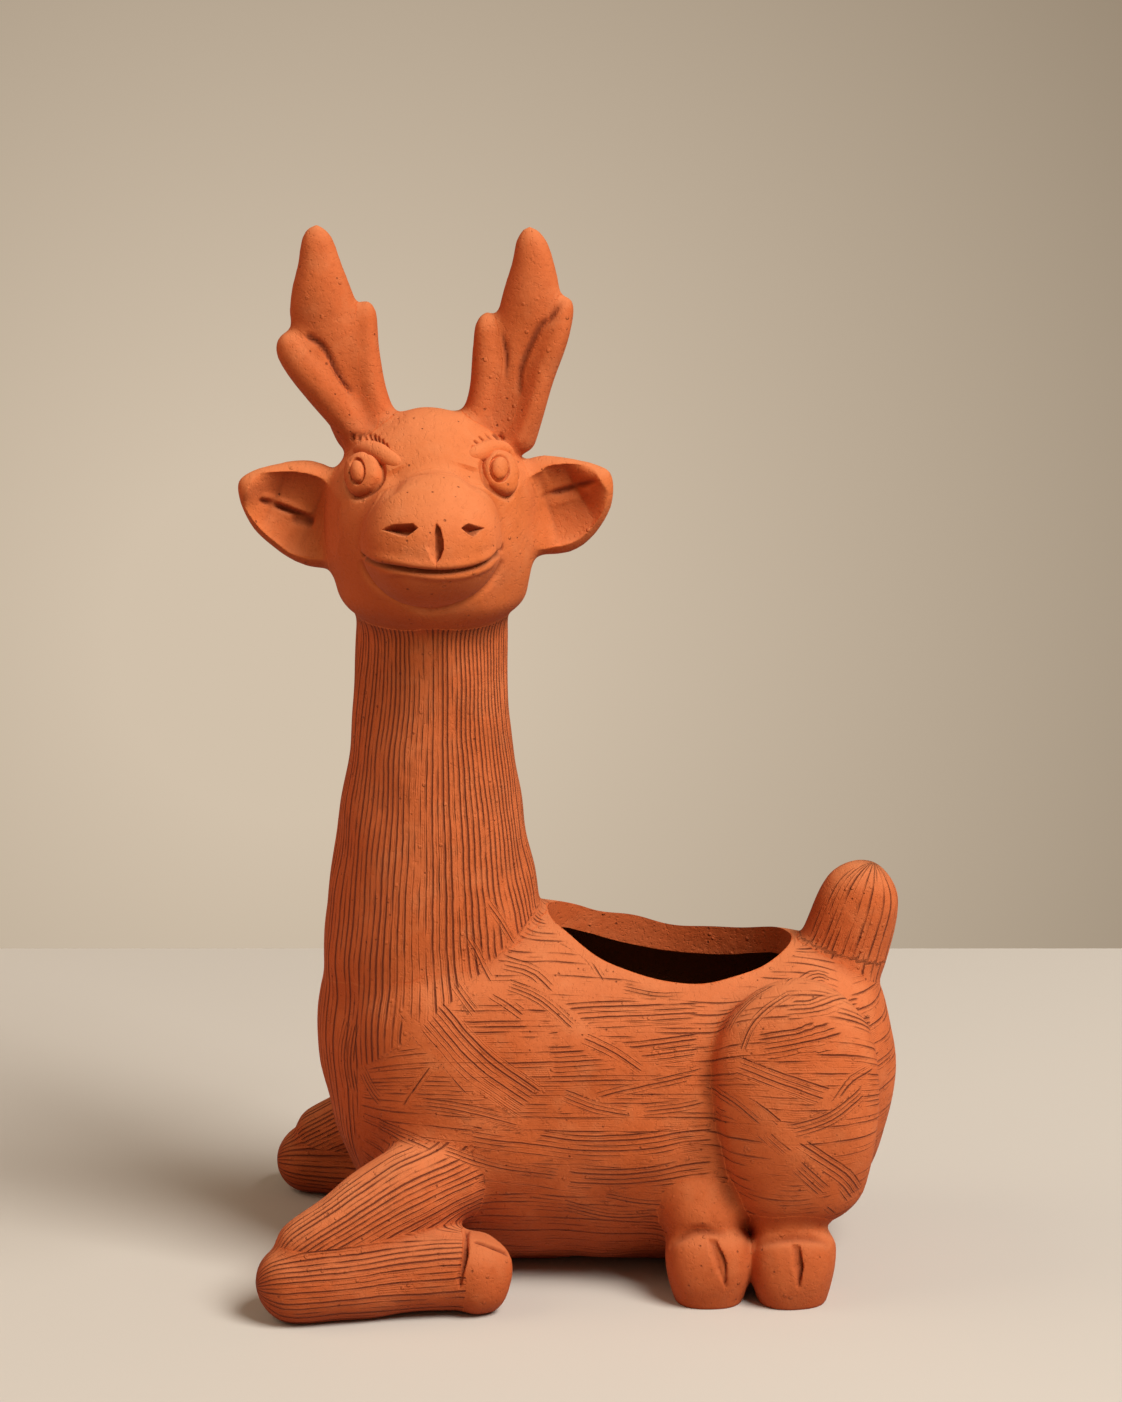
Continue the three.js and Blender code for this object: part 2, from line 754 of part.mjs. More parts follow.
const thighSeat = seatOf(thighShape(-1));
add("left_hind_hoof", cut(lump(feet.left.hoof), potSeat, ground, lump(feet.left.cleft)), hoofClay);
add(
  "right_hind_hoof",
  cut(lump(feet.right.hoof), potSeat, leftHoofSeat, ground, lump(feet.right.cleft)),
  hoofClay,
);
add("left_hind_shank", cut(lump(feet.left.shank), potSeat, thighSeat, leftHoofSeat, rightHoofSeat, ground));
add(
  "right_hind_shank",
  cut(lump(feet.right.shank), potSeat, thighSeat, leftHoofSeat, rightHoofSeat, leftShankSeat, ground),
);

// The part's origin is on the ground under the middle of its overall box
group.updateMatrixWorld(true);
const middle = new THREE.Box3().setFromObject(group).getCenter(new THREE.Vector3());
group.position.set(-middle.x, -middle.y, 0);

export default group;
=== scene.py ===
# A hand-built terracotta planter in the form of a lying deer, fired once and left unglazed.
# The clay pieces are shaped one by one, luted together while soft, worked over with a toothed rib,
# hollowed, and parted again along their seams so that each piece is an object of its own.
# Sizes in millimetres are the clay's own; +Z is up, the rump is at +X and the face looks along -Y.

import math

import bmesh
import bpy
import numpy as np
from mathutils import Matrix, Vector
from mathutils.bvhtree import BVHTree


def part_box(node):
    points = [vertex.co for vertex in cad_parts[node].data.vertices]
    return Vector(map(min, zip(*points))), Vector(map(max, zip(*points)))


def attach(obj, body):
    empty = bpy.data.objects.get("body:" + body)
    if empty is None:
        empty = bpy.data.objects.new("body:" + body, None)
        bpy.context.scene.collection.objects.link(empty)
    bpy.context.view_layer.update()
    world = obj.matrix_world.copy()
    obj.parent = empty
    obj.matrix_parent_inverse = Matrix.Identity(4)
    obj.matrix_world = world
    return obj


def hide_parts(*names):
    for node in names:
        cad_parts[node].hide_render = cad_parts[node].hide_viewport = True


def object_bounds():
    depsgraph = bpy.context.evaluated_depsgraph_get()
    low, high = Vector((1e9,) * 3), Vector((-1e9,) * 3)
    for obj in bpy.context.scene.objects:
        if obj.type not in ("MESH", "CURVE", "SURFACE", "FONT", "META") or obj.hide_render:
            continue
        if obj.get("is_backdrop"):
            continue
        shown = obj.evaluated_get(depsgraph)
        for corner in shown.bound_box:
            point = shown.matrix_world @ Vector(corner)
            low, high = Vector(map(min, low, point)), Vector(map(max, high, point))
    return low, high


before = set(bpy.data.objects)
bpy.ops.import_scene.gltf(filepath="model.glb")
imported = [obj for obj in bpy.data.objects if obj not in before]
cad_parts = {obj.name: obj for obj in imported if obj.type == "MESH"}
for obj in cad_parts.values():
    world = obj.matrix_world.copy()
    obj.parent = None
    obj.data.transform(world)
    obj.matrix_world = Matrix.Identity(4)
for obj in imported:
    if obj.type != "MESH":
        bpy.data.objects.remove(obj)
cad_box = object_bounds()
scene = bpy.context.scene


# The camera
# It stands where the photograph was taken: 1.9 m in front, 0.7 m up and looking slightly down.
# The setting is the place of the clay's own zero in the object's frame.
photo_width = 1122
photo_height = 1402
camera_distance = 1900
camera_height = 710
camera_pitch = math.radians(13.546)
focal_pixels = 4472
mm = 0.001
chest_end = -108
depth_shift = 5.39
setting = Vector((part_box("body_pot")[0].x / mm - chest_end, depth_shift, 0))

camera_data = bpy.data.cameras.new("camera")
camera_data.sensor_fit = "AUTO"
camera_data.sensor_width = 36
camera_data.lens = focal_pixels / photo_height * camera_data.sensor_width
camera = bpy.data.objects.new("camera", camera_data)
camera.location = (Vector((0, -camera_distance, camera_height)) + setting) * mm
camera.rotation_euler = (math.pi / 2 - camera_pitch, 0, 0)
scene.collection.objects.link(camera)
scene.camera = camera


# The pot
# The deer's body is a rounded, hollow pot of stiff clay, high at the shoulder and full at the rump.
# A ball of clay is drawn out along a line; the ends stay round and the width and depth vary along it.
line_steps = 201
tiny_step = 1e-4


def read_along(values, t):
    values = np.asarray(values, float)
    values = values.reshape(len(values), -1)
    ends = (2 * values[:1] - values[1:2], 2 * values[-1:] - values[-2:-1])
    padded = np.vstack([ends[0], values, ends[1]])
    place = np.clip(t, 0, 1) * (len(values) - 1)
    k = np.minimum(place.astype(int), len(values) - 2)
    f = (place - k)[:, None]
    a, b, c, d = (padded[k + i] for i in range(4))
    bend = (2 * a - 5 * b + 4 * c - d) * f**2 + (3 * b - a - 3 * c + d) * f**3
    return 0.5 * (2 * b + (c - a) * f + bend)


def turn_outwards(ball):
    if ball.calc_volume(signed=True) < 0:
        bmesh.ops.reverse_faces(ball, faces=ball.faces)
    return ball


def roll_clay(shape, grow=0, rings=40, sides=56):
    points = shape["points"]
    deep_way = np.array(shape.get("deep_way", (0, 1, 0)), float)
    square = shape.get("square", 2)
    ball = bmesh.new()
    bmesh.ops.create_uvsphere(ball, u_segments=sides, v_segments=rings, radius=1)
    spots = np.array([v.co for v in ball.verts])
    share = (1 - spots[:, 2]) / 2
    angle = np.arctan2(spots[:, 1], spots[:, 0])
    walk = read_along(points, np.linspace(0, 1, line_steps))
    length = np.linalg.norm(np.diff(walk, axis=0), axis=1).sum()
    full = length + 2 * grow
    along = share * full - grow
    t = np.clip(along / length, 0, 1)
    way = read_along(points, t + tiny_step) - read_along(points, t - tiny_step)
    if "upright" in shape:
        way = np.tile(np.array(shape["upright"], float), (len(t), 1))
    way /= np.linalg.norm(way, axis=1)[:, None]
    centre = read_along(points, t) + way * (along - t * length)[:, None]
    cap = np.ones(len(t))
    for at_end, size in zip((share, 1 - share), shape["round"]):
        near = np.minimum(1, at_end * full / max(size + grow, 1))
        cap *= np.sqrt(np.maximum(0, 1 - (1 - near) ** 2))
    side = np.cross(deep_way, way)
    side /= np.linalg.norm(side, axis=1)[:, None]
    up = np.cross(way, side)
    power = 2 / square
    across = np.sign(np.cos(angle)) * np.abs(np.cos(angle)) ** power
    through = np.sign(np.sin(angle)) * np.abs(np.sin(angle)) ** power
    half_wide = (read_along(shape["wide"], t)[:, 0] + grow) * cap
    half_deep = (read_along(shape["deep"], t)[:, 0] + grow) * cap
    placed = centre + side * (half_wide * across)[:, None] + up * (half_deep * through)[:, None]
    for vert, spot in zip(ball.verts, placed):
        vert.co = (Vector(spot) + setting) * mm
    return turn_outwards(ball)


clay = {}
clay["body_pot"] = {
    "points": [(chest_end, 0, 105), (-57, 1, 82), (-5, 3, 78), (46, 3, 74.5), (98, 2, 72), (149, 0, 88)],
    "wide": [80, 83.3, 79.8, 76, 73.8, 74],
    "deep": [42, 61.6, 68.6, 70, 67.9, 56],
    "round": (54, 60),
    "square": 2.15,
    "upright": (1, 0, 0),
}


# The neck and the head
# The neck is a thick tube that tapers up from the shoulder; the head is a hollow ball set on its top.
# The muzzle is a smaller ball pressed onto the front of the head.
clay["neck"] = {
    "points": [(-55, 0, 80), (-56, 0, 136), (-57, 0, 192), (-57, 0, 249), (-56, 0, 305)],
    "wide": [44, 49.3, 42, 34.2, 32],
    "deep": [40.9, 45.8, 39.1, 31.6, 29],
    "round": (8, 8),
}
clay["head"] = {
    "points": [(-56, -4, 285 + 98 * share) for share in (0, 0.2, 0.4, 0.6, 0.8, 1)],
    "wide": [38.2, 41.4, 45.5, 45.1, 40.5, 34],
    "deep": [34, 42.3, 46, 46, 42.3, 34],
    "round": (18, 38),
}
clay["muzzle"] = {
    "points": [(-54.5, -16, 334), (-54.5, -50, 334), (-54.5, -84, 334)],
    "wide": [30, 30],
    "deep": [28.5, 28.5],
    "round": (34, 34),
    "deep_way": (0, 0, 1),
}


# The ears
# Each ear is a thick leaf of clay, rolled, luted to the cheek and pressed hollow with the thumb.
ear_depth = 11
ear_lines = {
    "right": [
        (-85.5, -1, 330), (-101.5, -1, 333), (-113.5, 0, 338), (-125.5, -1, 343.3), (-139.5, -3, 350)
    ],
    "left": [(-24.5, -1, 332), (-10.5, -1, 337.5), (-0.5, 0, 341), (9.5, -1, 346.3), (21.5, -3, 354)],
}
for name, line in ear_lines.items():
    clay[f"{name}_ear"] = {
        "points": line,
        "wide": [16, 21.2, 22, 16.8, 5],
        "deep": [share * ear_depth for share in (1, 1, 1, 0.9, 0.6)],
        "round": (8, 7),
    }


# The antlers
# A flat beam with an outer and an inner tine, rolled by hand and laid one on another while soft.
# Each row is a place beside the middle of the crown and the half width there.
crown = Vector((-56, 5, 383))
antler_depth = 11
antler_rows = {
    "right_antler_beam": [
        (-26, -1, -18, 13), (-33, 0, -3, 13), (-34, 0, 10, 12.5), (-39, 0, 23.5, 15),
        (-45, 0, 36, 15), (-47, 0, 49, 12.8), (-48, 0, 62, 8.8), (-49, 0, 77.8, 6.2),
    ],
    "right_antler_outer_tine": [
        (-26, -5, -17, 9), (-38, -6, -2, 9), (-50, -6, 12, 9), (-58, -5, 23, 8.5), (-64, -4, 31, 6)
    ],
    "right_antler_inner_tine": [
        (-20, -3, -11, 7), (-25, -2, 6, 6.5), (-27, -1, 23, 5.5), (-28, 0, 45, 4.5)
    ],
    "left_antler_beam": [
        (29, -1, -18, 13), (33, 0, -3, 13.5), (35, 0, 10, 13), (38, 0, 23, 12.5),
        (41, 0, 36, 12.8), (44, 0, 49, 12), (44, 0, 62, 8.6), (42, 0, 77.8, 6.2),
    ],
    "left_antler_outer_tine": [
        (36, -5, -20, 7.5), (43, -6, -2, 6.5), (49, -6, 18, 7), (55, -5, 34, 6.2), (59, -4, 48, 5)
    ],
    "left_antler_inner_tine": [(18, -3, -12, 8), (23, -2, 5, 7), (25, -1, 21, 7.2), (24, 0, 40, 5)],
}
antler_depths = {
    "beam": [1, 1, 0.95, 0.95, 1, 0.95, 0.75, 0.55],
    "outer_tine": [1, 0.95, 0.9, 0.8, 0.55],
    "inner_tine": [1, 0.95, 0.85, 0.55],
}
for name, rows in antler_rows.items():
    depths = antler_depths[name.split("_antler_")[1]]
    clay[name] = {
        "points": [crown + Vector(row[:3]) for row in rows],
        "wide": [row[3] for row in rows],
        "deep": [share * antler_depth for share in depths],
        "round": (6, 8),
    }


# The tail and the thighs
# The tail is a stub that stands up from the croup; a rounded haunch is luted to each flank.
clay["tail"] = {
    "points": [(119, 0, 122), (125, 0, 142), (132, 0, 163), (138, 0, 180)],
    "wide": [20, 20, 18, 11],
    "deep": [19, 18, 16, 11],
    "round": (8, 16),
}
for name, out, top in (("left", -61, 140), ("right", 61, 128)):
    foot = 32
    clay[f"{name}_thigh"] = {
        "points": [
            (103, 0.74 * out, top),
            (102, 0.95 * out, foot + 0.74 * (top - foot)),
            (101, out, foot + 0.5 * (top - foot)),
            (102, 0.98 * out, foot + 0.26 * (top - foot)),
            (103, 0.92 * out, foot),
        ],
        "wide": [25.9, 35.2, 37, 33.3, 25.2],
        "deep": [16.5, 20.9, 22, 20.9, 17.6],
        "round": (22, 16),
    }


# The front legs
# The upper leg comes down from the shoulder to the knee; the lower leg is folded back under it.
# Each row gives, for a place on the leg, how far behind the knee it lies as a share of the leg's length,
# how far out as a share of the knee's, and its height.
front_leg_length = 98
front_leg_rows = {
    "front_upper_leg": [(0.8, 0.5, 54.4), (0.52, 0.7, 46.4), (0.235, 0.88, 33.6), (-0.02, 0.98, 20)],
    "front_lower_leg": [(-0.14, 1.01, 14.1), (0.2, 0.96, 15.5), (0.51, 0.85, 16.8), (0.82, 0.8, 16.8)],
    "front_hoof": [(0.71, 0.86, 16.3), (0.84, 0.83, 15.7), (0.94, 0.77, 13.4)],
}
front_leg_rolls = {
    "front_upper_leg": {
        "wide": [21.6, 20.8, 17.6, 14.4],
        "deep": [19.2, 19.2, 16, 14.4],
        "round": (10, 14),
    },
    "front_lower_leg": {
        "wide": [15.2, 16.8, 17.3, 16],
        "deep": [16.8, 18.4, 20.8, 20.8],
        "round": (14, 6),
        "square": 2.3,
    },
    "front_hoof": {
        "wide": [15.2, 16.8, 14.4],
        "deep": [18.4, 19.2, 16],
        "round": (8, 8),
        "square": 2.6,
    },
}
for name, out, knee in (("left", -88, -118), ("right", 77, -119)):
    for part, rows in front_leg_rows.items():
        points = [(knee + behind * front_leg_length, aside * out, up) for behind, aside, up in rows]
        clay[f"{name}_{part}"] = dict(front_leg_rolls[part], points=points)


# The hind feet
# Both come out on the near flank, one beside the other, each a short shank and a cloven hoof.
for name, x in (("left", 101), ("right", 64)):
    clay[f"{name}_hind_hoof"] = {
        "points": [(x, -63, -6), (x, -63, 10.5), (x, -62, 22.8), (x, -60, 35)],
        "wide": [14.1, 17.9, 18.5, 15.7],
        "deep": [14.8, 18.5, 18.1, 14.8],
        "round": (4, 12),
        "square": 2.5,
    }
    clay[f"{name}_hind_shank"] = {
        "points": [(x - 4, -48, 63), (x - 2, -55, 45.5), (x, -61, 28)],
        "wide": [18.2, 18.9, 16.8],
        "deep": [15.4, 16.1, 15.4],
        "round": (16, 6),
    }


# Luting
# The soft pieces are pressed together with slip, so that the skin runs on from one to the next and
# each seam is a shallow valley. The skin stays a little uneven, as hand-worked clay does.
skin_fineness = 1.4
first_rounds = 4
valley_rounds = 32
rounds_per_look = 6
valley_fill = 0.6
ridge_wear = 0.1
swells = 24
swell_lengths = (22, 60)
swell_share = 0.35
unevenness = 0.35


def lay_out(name, ball):
    data = bpy.data.meshes.new(name)
    ball.to_mesh(data)
    ball.free()
    piece = bpy.data.objects.new(name, data)
    scene.collection.objects.link(piece)
    return piece


whole = bmesh.new()
for shape in clay.values():
    lump = lay_out("lump", roll_clay(shape))
    whole.from_mesh(lump.data)
    bpy.data.meshes.remove(lump.data)
skin = lay_out("skin", whole)
remesh = skin.modifiers.new("press_together", "REMESH")
remesh.mode = "VOXEL"
remesh.voxel_size = skin_fineness * mm


def settle(piece):
    view = bpy.context.evaluated_depsgraph_get()
    finished = bpy.data.meshes.new_from_object(piece.evaluated_get(view))
    piece.modifiers.clear()
    piece.data = finished
    return finished


def read_spots(data):
    spots = np.empty(len(data.vertices) * 3, np.float32)
    data.vertices.foreach_get("co", spots)
    return spots.reshape(-1, 3).astype(float) / mm - np.array(setting)


def write_spots(data, spots):
    placed = ((spots + np.array(setting)) * mm).astype(np.float32)
    data.vertices.foreach_set("co", placed.ravel())
    data.update()


def read_normals(data):
    normals = np.empty(len(data.vertices) * 3, np.float32)
    data.vertex_normals.foreach_get("vector", normals)
    return normals.reshape(-1, 3).astype(float)


def read_edges(data):
    edges = np.empty(len(data.edges) * 2, int)
    data.edges.foreach_get("vertices", edges)
    return edges.reshape(-1, 2)


def average_round(values, edges):
    count = len(values)
    neighbours = np.bincount(edges.ravel(), minlength=count)
    total = np.empty_like(values)
    for k in range(values.shape[1]):
        first = np.bincount(edges[:, 0], values[edges[:, 1], k], count)
        second = np.bincount(edges[:, 1], values[edges[:, 0], k], count)
        total[:, k] = (first + second) / neighbours
    return total


def set_down(spots):
    spots[:, 2] = np.maximum(spots[:, 2], 0)
    write_spots(clay_mesh, spots)
    return read_normals(clay_mesh)


clay_mesh = settle(skin)
edges = read_edges(clay_mesh)
spots = read_spots(clay_mesh)
for _ in range(first_rounds):
    spots += 0.5 * (average_round(spots, edges) - spots)
for turn in range(valley_rounds):
    if turn % rounds_per_look == 0:
        write_spots(clay_mesh, spots)
        normals = read_normals(clay_mesh)
    pull = average_round(spots, edges) - spots
    rise = np.einsum("ij,ij->i", pull, normals)
    spots += normals * (valley_fill * np.maximum(rise, 0) + ridge_wear * np.minimum(rise, 0))[:, None]
hand = np.random.default_rng(7)
for _ in range(swells):
    way = hand.normal(size=3)
    way /= np.linalg.norm(way)
    wave = 2 * np.pi / hand.uniform(*swell_lengths)
    swell = np.sin(spots @ way * wave + hand.uniform(0, 2 * np.pi))
    spots += normals * (unevenness * swell_share * swell)[:, None]
set_down(spots)


# The modelled face
# Mouth, nostrils and folds are pressed with a wooden tool; the clay is worked finer there.
# Each line is a row of places in the photograph, followed onto the clay from the camera.
def aim_from_camera(u, v):
    sight = Vector((u - photo_width / 2, -(v - photo_height / 2), -focal_pixels)).normalized()
    sight.rotate(camera.rotation_euler)
    return sight


def seen_from_camera(places):
    from_lens = (places + np.array(setting)) * mm - np.array(camera.location)
    across, above, behind = (from_lens @ np.array(camera.rotation_euler.to_matrix())).T
    u = photo_width / 2 - focal_pixels * across / behind
    v = photo_height / 2 + focal_pixels * above / behind
    return np.column_stack((u, v))


def follow_from_camera(u, v):
    found, place, _, _ = skin.ray_cast(camera.location, aim_from_camera(u, v))
    return np.array(place) / mm - np.array(setting) if found else None


def refine_clay(parts):
    ball = bmesh.new()
    ball.from_mesh(clay_mesh)
    insides = []
    for low, high in parts:
        low = (Vector(low) + setting) * mm
        high = (Vector(high) + setting) * mm
        insides.append({v for v in ball.verts if all(low[k] < v.co[k] < high[k] for k in range(3))})
    near = [e for e in ball.edges if any(inside.issuperset(e.verts) for inside in insides)]
    bmesh.ops.subdivide_edges(ball, edges=near, cuts=1, use_grid_fill=True)
    ball.to_mesh(clay_mesh)
    ball.free()


face_part = ((-110, -90, 296), (-5, -14, 383))
ear_parts = [((-146, -16, 318), (-84, 14, 366)), ((-28, -16, 318), (34, 14, 366))]
hoof_parts = [((38, -90, 0), (124, -55, 34)), ((-62, -100, 0), (-16, -45, 34))]
muzzle_part = ((-94, -90, 300), (-18, -46, 368))
brow_part = ((-95, -46, 357), (-18, -12, 382))
refine_clay([face_part, *ear_parts, *hoof_parts])
refine_clay([muzzle_part, brow_part])
edges = read_edges(clay_mesh)
spots = read_spots(clay_mesh)
spots += 0.4 * (average_round(spots, edges) - spots)
normals = set_down(spots)


def thread(places, step=1.5):
    found = [follow_from_camera(u, v) for u, v in places]
    found = [spot for spot in found if spot is not None]
    length = np.linalg.norm(np.diff(found, axis=0), axis=1).sum()
    return read_along(found, np.linspace(0, 1, max(3, int(length / step))))


def measure_from(start, end, places):
    way = end - start
    t = np.clip(((places - start) @ way) / (way @ way), 0, 1)
    beside = places - start - t[:, None] * way
    return t, beside, np.linalg.norm(beside, axis=1)


def reach_of(line, around):
    near = np.where(((spots > line.min(0) - around) & (spots < line.max(0) + around)).all(axis=1))[0]
    best = np.full(len(near), 1e9)
    share = np.zeros(len(near))
    for k, (start, end) in enumerate(zip(line[:-1], line[1:])):
        t, _, gap = measure_from(start, end, spots[near])
        closer = gap < best
        best[closer] = gap[closer]
        share[closer] = (k + t[closer]) / (len(line) - 1)
    return near, best, share


dips = np.zeros(len(spots))
# marks holds how much painted shade the colour puts into each pressed line.
marks = np.zeros(len(spots))


def deepen(near, dip, shade):
    dips[near] = np.where(np.abs(dip) > np.abs(dips[near]), dip, dips[near])
    marks[near] = np.maximum(marks[near], shade * np.clip(dip, 0, 1))


def press(places, half_width, depth, fade=0.12, shade=1):
    near, gap, share = reach_of(thread(places), 3 * half_width)
    ends = np.clip(np.minimum(share, 1 - share) / max(fade, 1e-6), 0, 1) ** 0.6
    deepen(near, depth * np.exp(-((gap / half_width) ** 2)) * ends, shade)


patch_reach = 24


def press_patch(outline, depth, soft, shade=1):
    ring = np.array(outline, float)
    centre = follow_from_camera(*ring.mean(0))
    near = np.where(np.linalg.norm(spots - centre, axis=1) < patch_reach)[0]
    seen = seen_from_camera(spots[near])
    gap = np.full(len(near), 1e9)
    inside = np.zeros(len(near), bool)
    for start, end in zip(ring, np.roll(ring, -1, 0)):
        gap = np.minimum(gap, measure_from(start, end, seen)[2])
        crosses = (start[1] > seen[:, 1]) != (end[1] > seen[:, 1])
        way = end - start
        lean = way[0] / way[1] if way[1] else 0
        inside ^= crosses & (seen[:, 0] < start[0] + (seen[:, 1] - start[1]) * lean)
    deepen(near, depth * np.sin(np.clip(gap / soft, 0, 1) * math.pi / 2) * inside, shade)


def settle_dips():
    global spots, normals
    spots -= normals * dips[:, None]
    dips[:] = 0
    normals = set_down(spots)


nose_top = [(366, 520), (374, 505), (386, 489), (412, 476), (436, 473), (466, 480), (492, 497), (504, 530)]
mouth_line = [(361, 555), (365, 559), (393, 567), (437, 572), (476, 567), (496, 556), (504, 548)]
chin_line = [(361, 560), (370, 580), (399, 602), (434, 611), (469, 600), (492, 580), (503, 560)]
eye_outlines = {
    "right": [
        (360, 454), (350, 462), (347, 474), (349, 487), (357, 497),
        (372, 491), (381, 480), (381, 467), (372, 456),
    ],
    "left": [
        (497, 451), (486, 459), (483, 470), (489, 486),
        (508, 497), (515, 484), (515, 469), (508, 456),
    ],
}
press(nose_top, 1.5, 0.7, shade=0.3)
press(mouth_line, 1.2, 3.8, 0.04)
press(chin_line, 2.0, 1.3, shade=0.2)
nostrils = [
    [
        (381, 530), (388, 526), (394, 524), (413, 523), (418, 528),
        (412, 533), (406, 537), (399, 536), (390, 533),
    ],
    [(461, 528), (465, 525), (469, 523), (478, 526), (486, 528), (480, 531), (474, 537), (468, 534)],
]
brow_strokes = [
    [(353, 434), (352, 441)],
    [(358, 432), (359, 441)],
    [(363, 432), (366, 442)],
    [(368, 432), (372, 443)],
    [(373, 434), (377, 445)],
    [(377, 436), (381, 448)],
    [(381, 439), (385, 450)],
    [(385, 443), (388, 452)],
    [(472, 446), (477, 450)],
    [(474, 440), (483, 447)],
    [(479, 436), (489, 445)],
    [(486, 434), (495, 443)],
    [(493, 433), (500, 441)],
    [(499, 434), (504, 440)],
]
philtrum = [
    (436, 521), (441, 528), (444, 540), (444, 550), (441, 560),
    (436, 568), (430, 558), (425, 547), (430, 534),
]
philtrum_slit = [
    (436, 523), (441, 530), (443.5, 541), (443.5, 550),
    (440, 559), (436, 565), (434.5, 550), (434.5, 535),
]
eye_corners = [[(392, 470), (396, 482), (392, 496)], [(470, 466), (470, 478), (476, 492)]]
press_patch(nostrils[0], 4.8, 6)
press_patch(nostrils[1], 4.4, 5)
press_patch(philtrum, 1.7, 7, 0.1)
for corner in eye_corners:
    press(corner, 5.0, 1.2, shade=0)
for outline in eye_outlines.values():
    press([*outline, outline[0]], 1.5, 1.9, 0, shade=0.4)
settle_dips()
lip_gap = 6
press([(u, v - lip_gap) for u, v in mouth_line[1:-1]], 2.2, -1.1)
press([(u, v + lip_gap) for u, v in mouth_line[1:-1]], 1.8, -0.7)
press_patch(philtrum_slit, 2.3, 3.5, 0.6)
for upper, lower in brow_strokes:
    press([upper, lower], 0.7, 1.5, 0.2, shade=0.8)
settle_dips()


# The pressed ears
# The thumb hollows each ear from the front and leaves a thick rim with a fold or two inside it.
ear_hollow = 11
ear_reach = 26
hollow_width = 0.72
hollow_start = 0.14
hollow_end = 0.93
hollow_ramp = 0.2
for name, line in ear_lines.items():
    line = read_along(line, np.linspace(0, 1, 40))
    near, _, share = reach_of(line, ear_reach)
    across = spots[near, 2] - read_along(line, share)[:, 2]
    width = read_along(clay[f"{name}_ear"]["wide"], share)[:, 0] * hollow_width
    middle = np.clip(1 - (across / width) ** 2, 0, 1)
    along = np.clip((share - hollow_start) / hollow_ramp, 0, 1)
    along *= np.clip((hollow_end - share) / hollow_ramp, 0, 1)
    front = np.clip(-normals[near, 1] * 2 - 0.1, 0, 1)
    press_in = ear_hollow * middle**0.8 * along**0.8 * front
    spots[near, 1] += press_in
    # The ear's hollow is darkened in the colour as painted shade.
    marks[near] = np.maximum(marks[near], 0.35 * middle * along * front)
write_spots(clay_mesh, spots)
normals = read_normals(clay_mesh)
ear_folds = [
    ([(261, 495), (285, 502), (312, 513)], 1.4, -1.2, 0.3),
    ([(259, 500), (285, 509), (313, 520)], 1.2, 2.2, 0.2),
    ([(290, 516), (302, 519), (314, 522)], 2.4, 1.8, 0.3),
    ([(541, 498), (568, 489), (597, 481)], 1.3, 1.6, 0.3),
    ([(548, 506), (570, 499), (590, 490)], 1.6, -0.8, 0.3),
]
for fold in ear_folds:
    press(*fold)


# Lines in the antlers and hooves
# The beams are scored where one roll of clay was laid on another; each hoof has a ledge and a cleft.
antler_scores = [
    ([(352, 395), (337, 373), (323, 347), (305, 335), (282, 332)], 1.2, 1.4),
    ([(564, 300), (552, 316), (537, 332), (521, 369), (520, 398)], 1.3, 1.5, 0.3, 0.6),
    ([(502, 332), (506, 352), (508, 383)], 0.9, 1.1, 0.4),
]
for score in antler_scores:
    press(*score)
ledges = [
    [(669, 1249), (682, 1237), (701, 1231), (727, 1235)],
    [(754, 1248), (774, 1241), (810, 1239), (830, 1246)],
]
clefts = [
    [(707, 1238), (716, 1238), (725, 1259), (727, 1291), (715, 1271), (709, 1255)],
    [(790, 1243), (800, 1243), (804, 1267), (799, 1292), (792, 1268)],
    [(465, 1228), (470, 1230), (469, 1255), (461, 1290), (455, 1277), (460, 1258), (462, 1242)],
]
slits = [
    [(715, 1240), (724, 1262), (726, 1288)],
    [(799, 1246), (801, 1266), (799, 1288)],
    [(468, 1231), (466, 1255), (460, 1288)],
]
front_hoof_seam = [(474, 1241), (492, 1247), (509, 1256)]
haunch_crease = [(709, 1058), (711, 1097), (717, 1137), (725, 1176), (735, 1208)]
thumb_dents = [((617, 1106), 17, 1.6), ((716, 1190), 14, 0.8), ((478, 1013), 12, -0.6)]
even_rounds = 14
full_recess = 0.7
# The way towards the window lamp; clay turned away from it is painted a deeper red as shade.
lamp_side = np.array((0.66, -0.36, 0.66))
for ledge in ledges:
    press(ledge, 2.0, 1.5, 0.3, shade=0.4)
for cleft in clefts:
    press_patch(cleft, 2.0, 7, 0.1)
press(front_hoof_seam, 1.1, 1.8)
press(haunch_crease, 4.0, 1.2, 0.4, shade=0.2)
settle_dips()
for slit in slits:
    press(slit, 0.8, 2.0, 0.4, shade=0.7)
settle_dips()
for centre, around, depth in thumb_dents:
    spot = follow_from_camera(*centre)
    gap = np.linalg.norm(spots - spot, axis=1)
    spots -= normals * (depth * np.exp(-((gap / around) ** 2)))[:, None]
write_spots(clay_mesh, spots)
even = spots.copy()
for _ in range(even_rounds):
    even += 0.6 * (average_round(even, edges) - even)
normals = read_normals(clay_mesh)
hollows = np.einsum("ij,ij->i", even - spots, normals)


def keep_marks(data, marks_by_name):
    for mark, values in marks_by_name.items():
        kind, field = ("FLOAT", "value") if values.ndim == 1 else ("FLOAT_VECTOR", "vector")
        kept = data.attributes.new(mark, kind, "POINT")
        kept.data.foreach_set(field, values.astype(np.float32).ravel())


# The pressed lines and the hollows of the skin are kept as marks that the colour darkens as painted shade.
keep_marks(clay_mesh, {"pressed": marks, "recess": np.clip(hollows / full_recess, 0, 1)})
# Which way the clay faces is kept, up and towards the window lamp, so that the colour can paint light on
# top and shade beneath and on the side away from the lamp.
keep_marks(clay_mesh, {"facing": normals[:, 2], "toward_lamp": normals @ lamp_side})


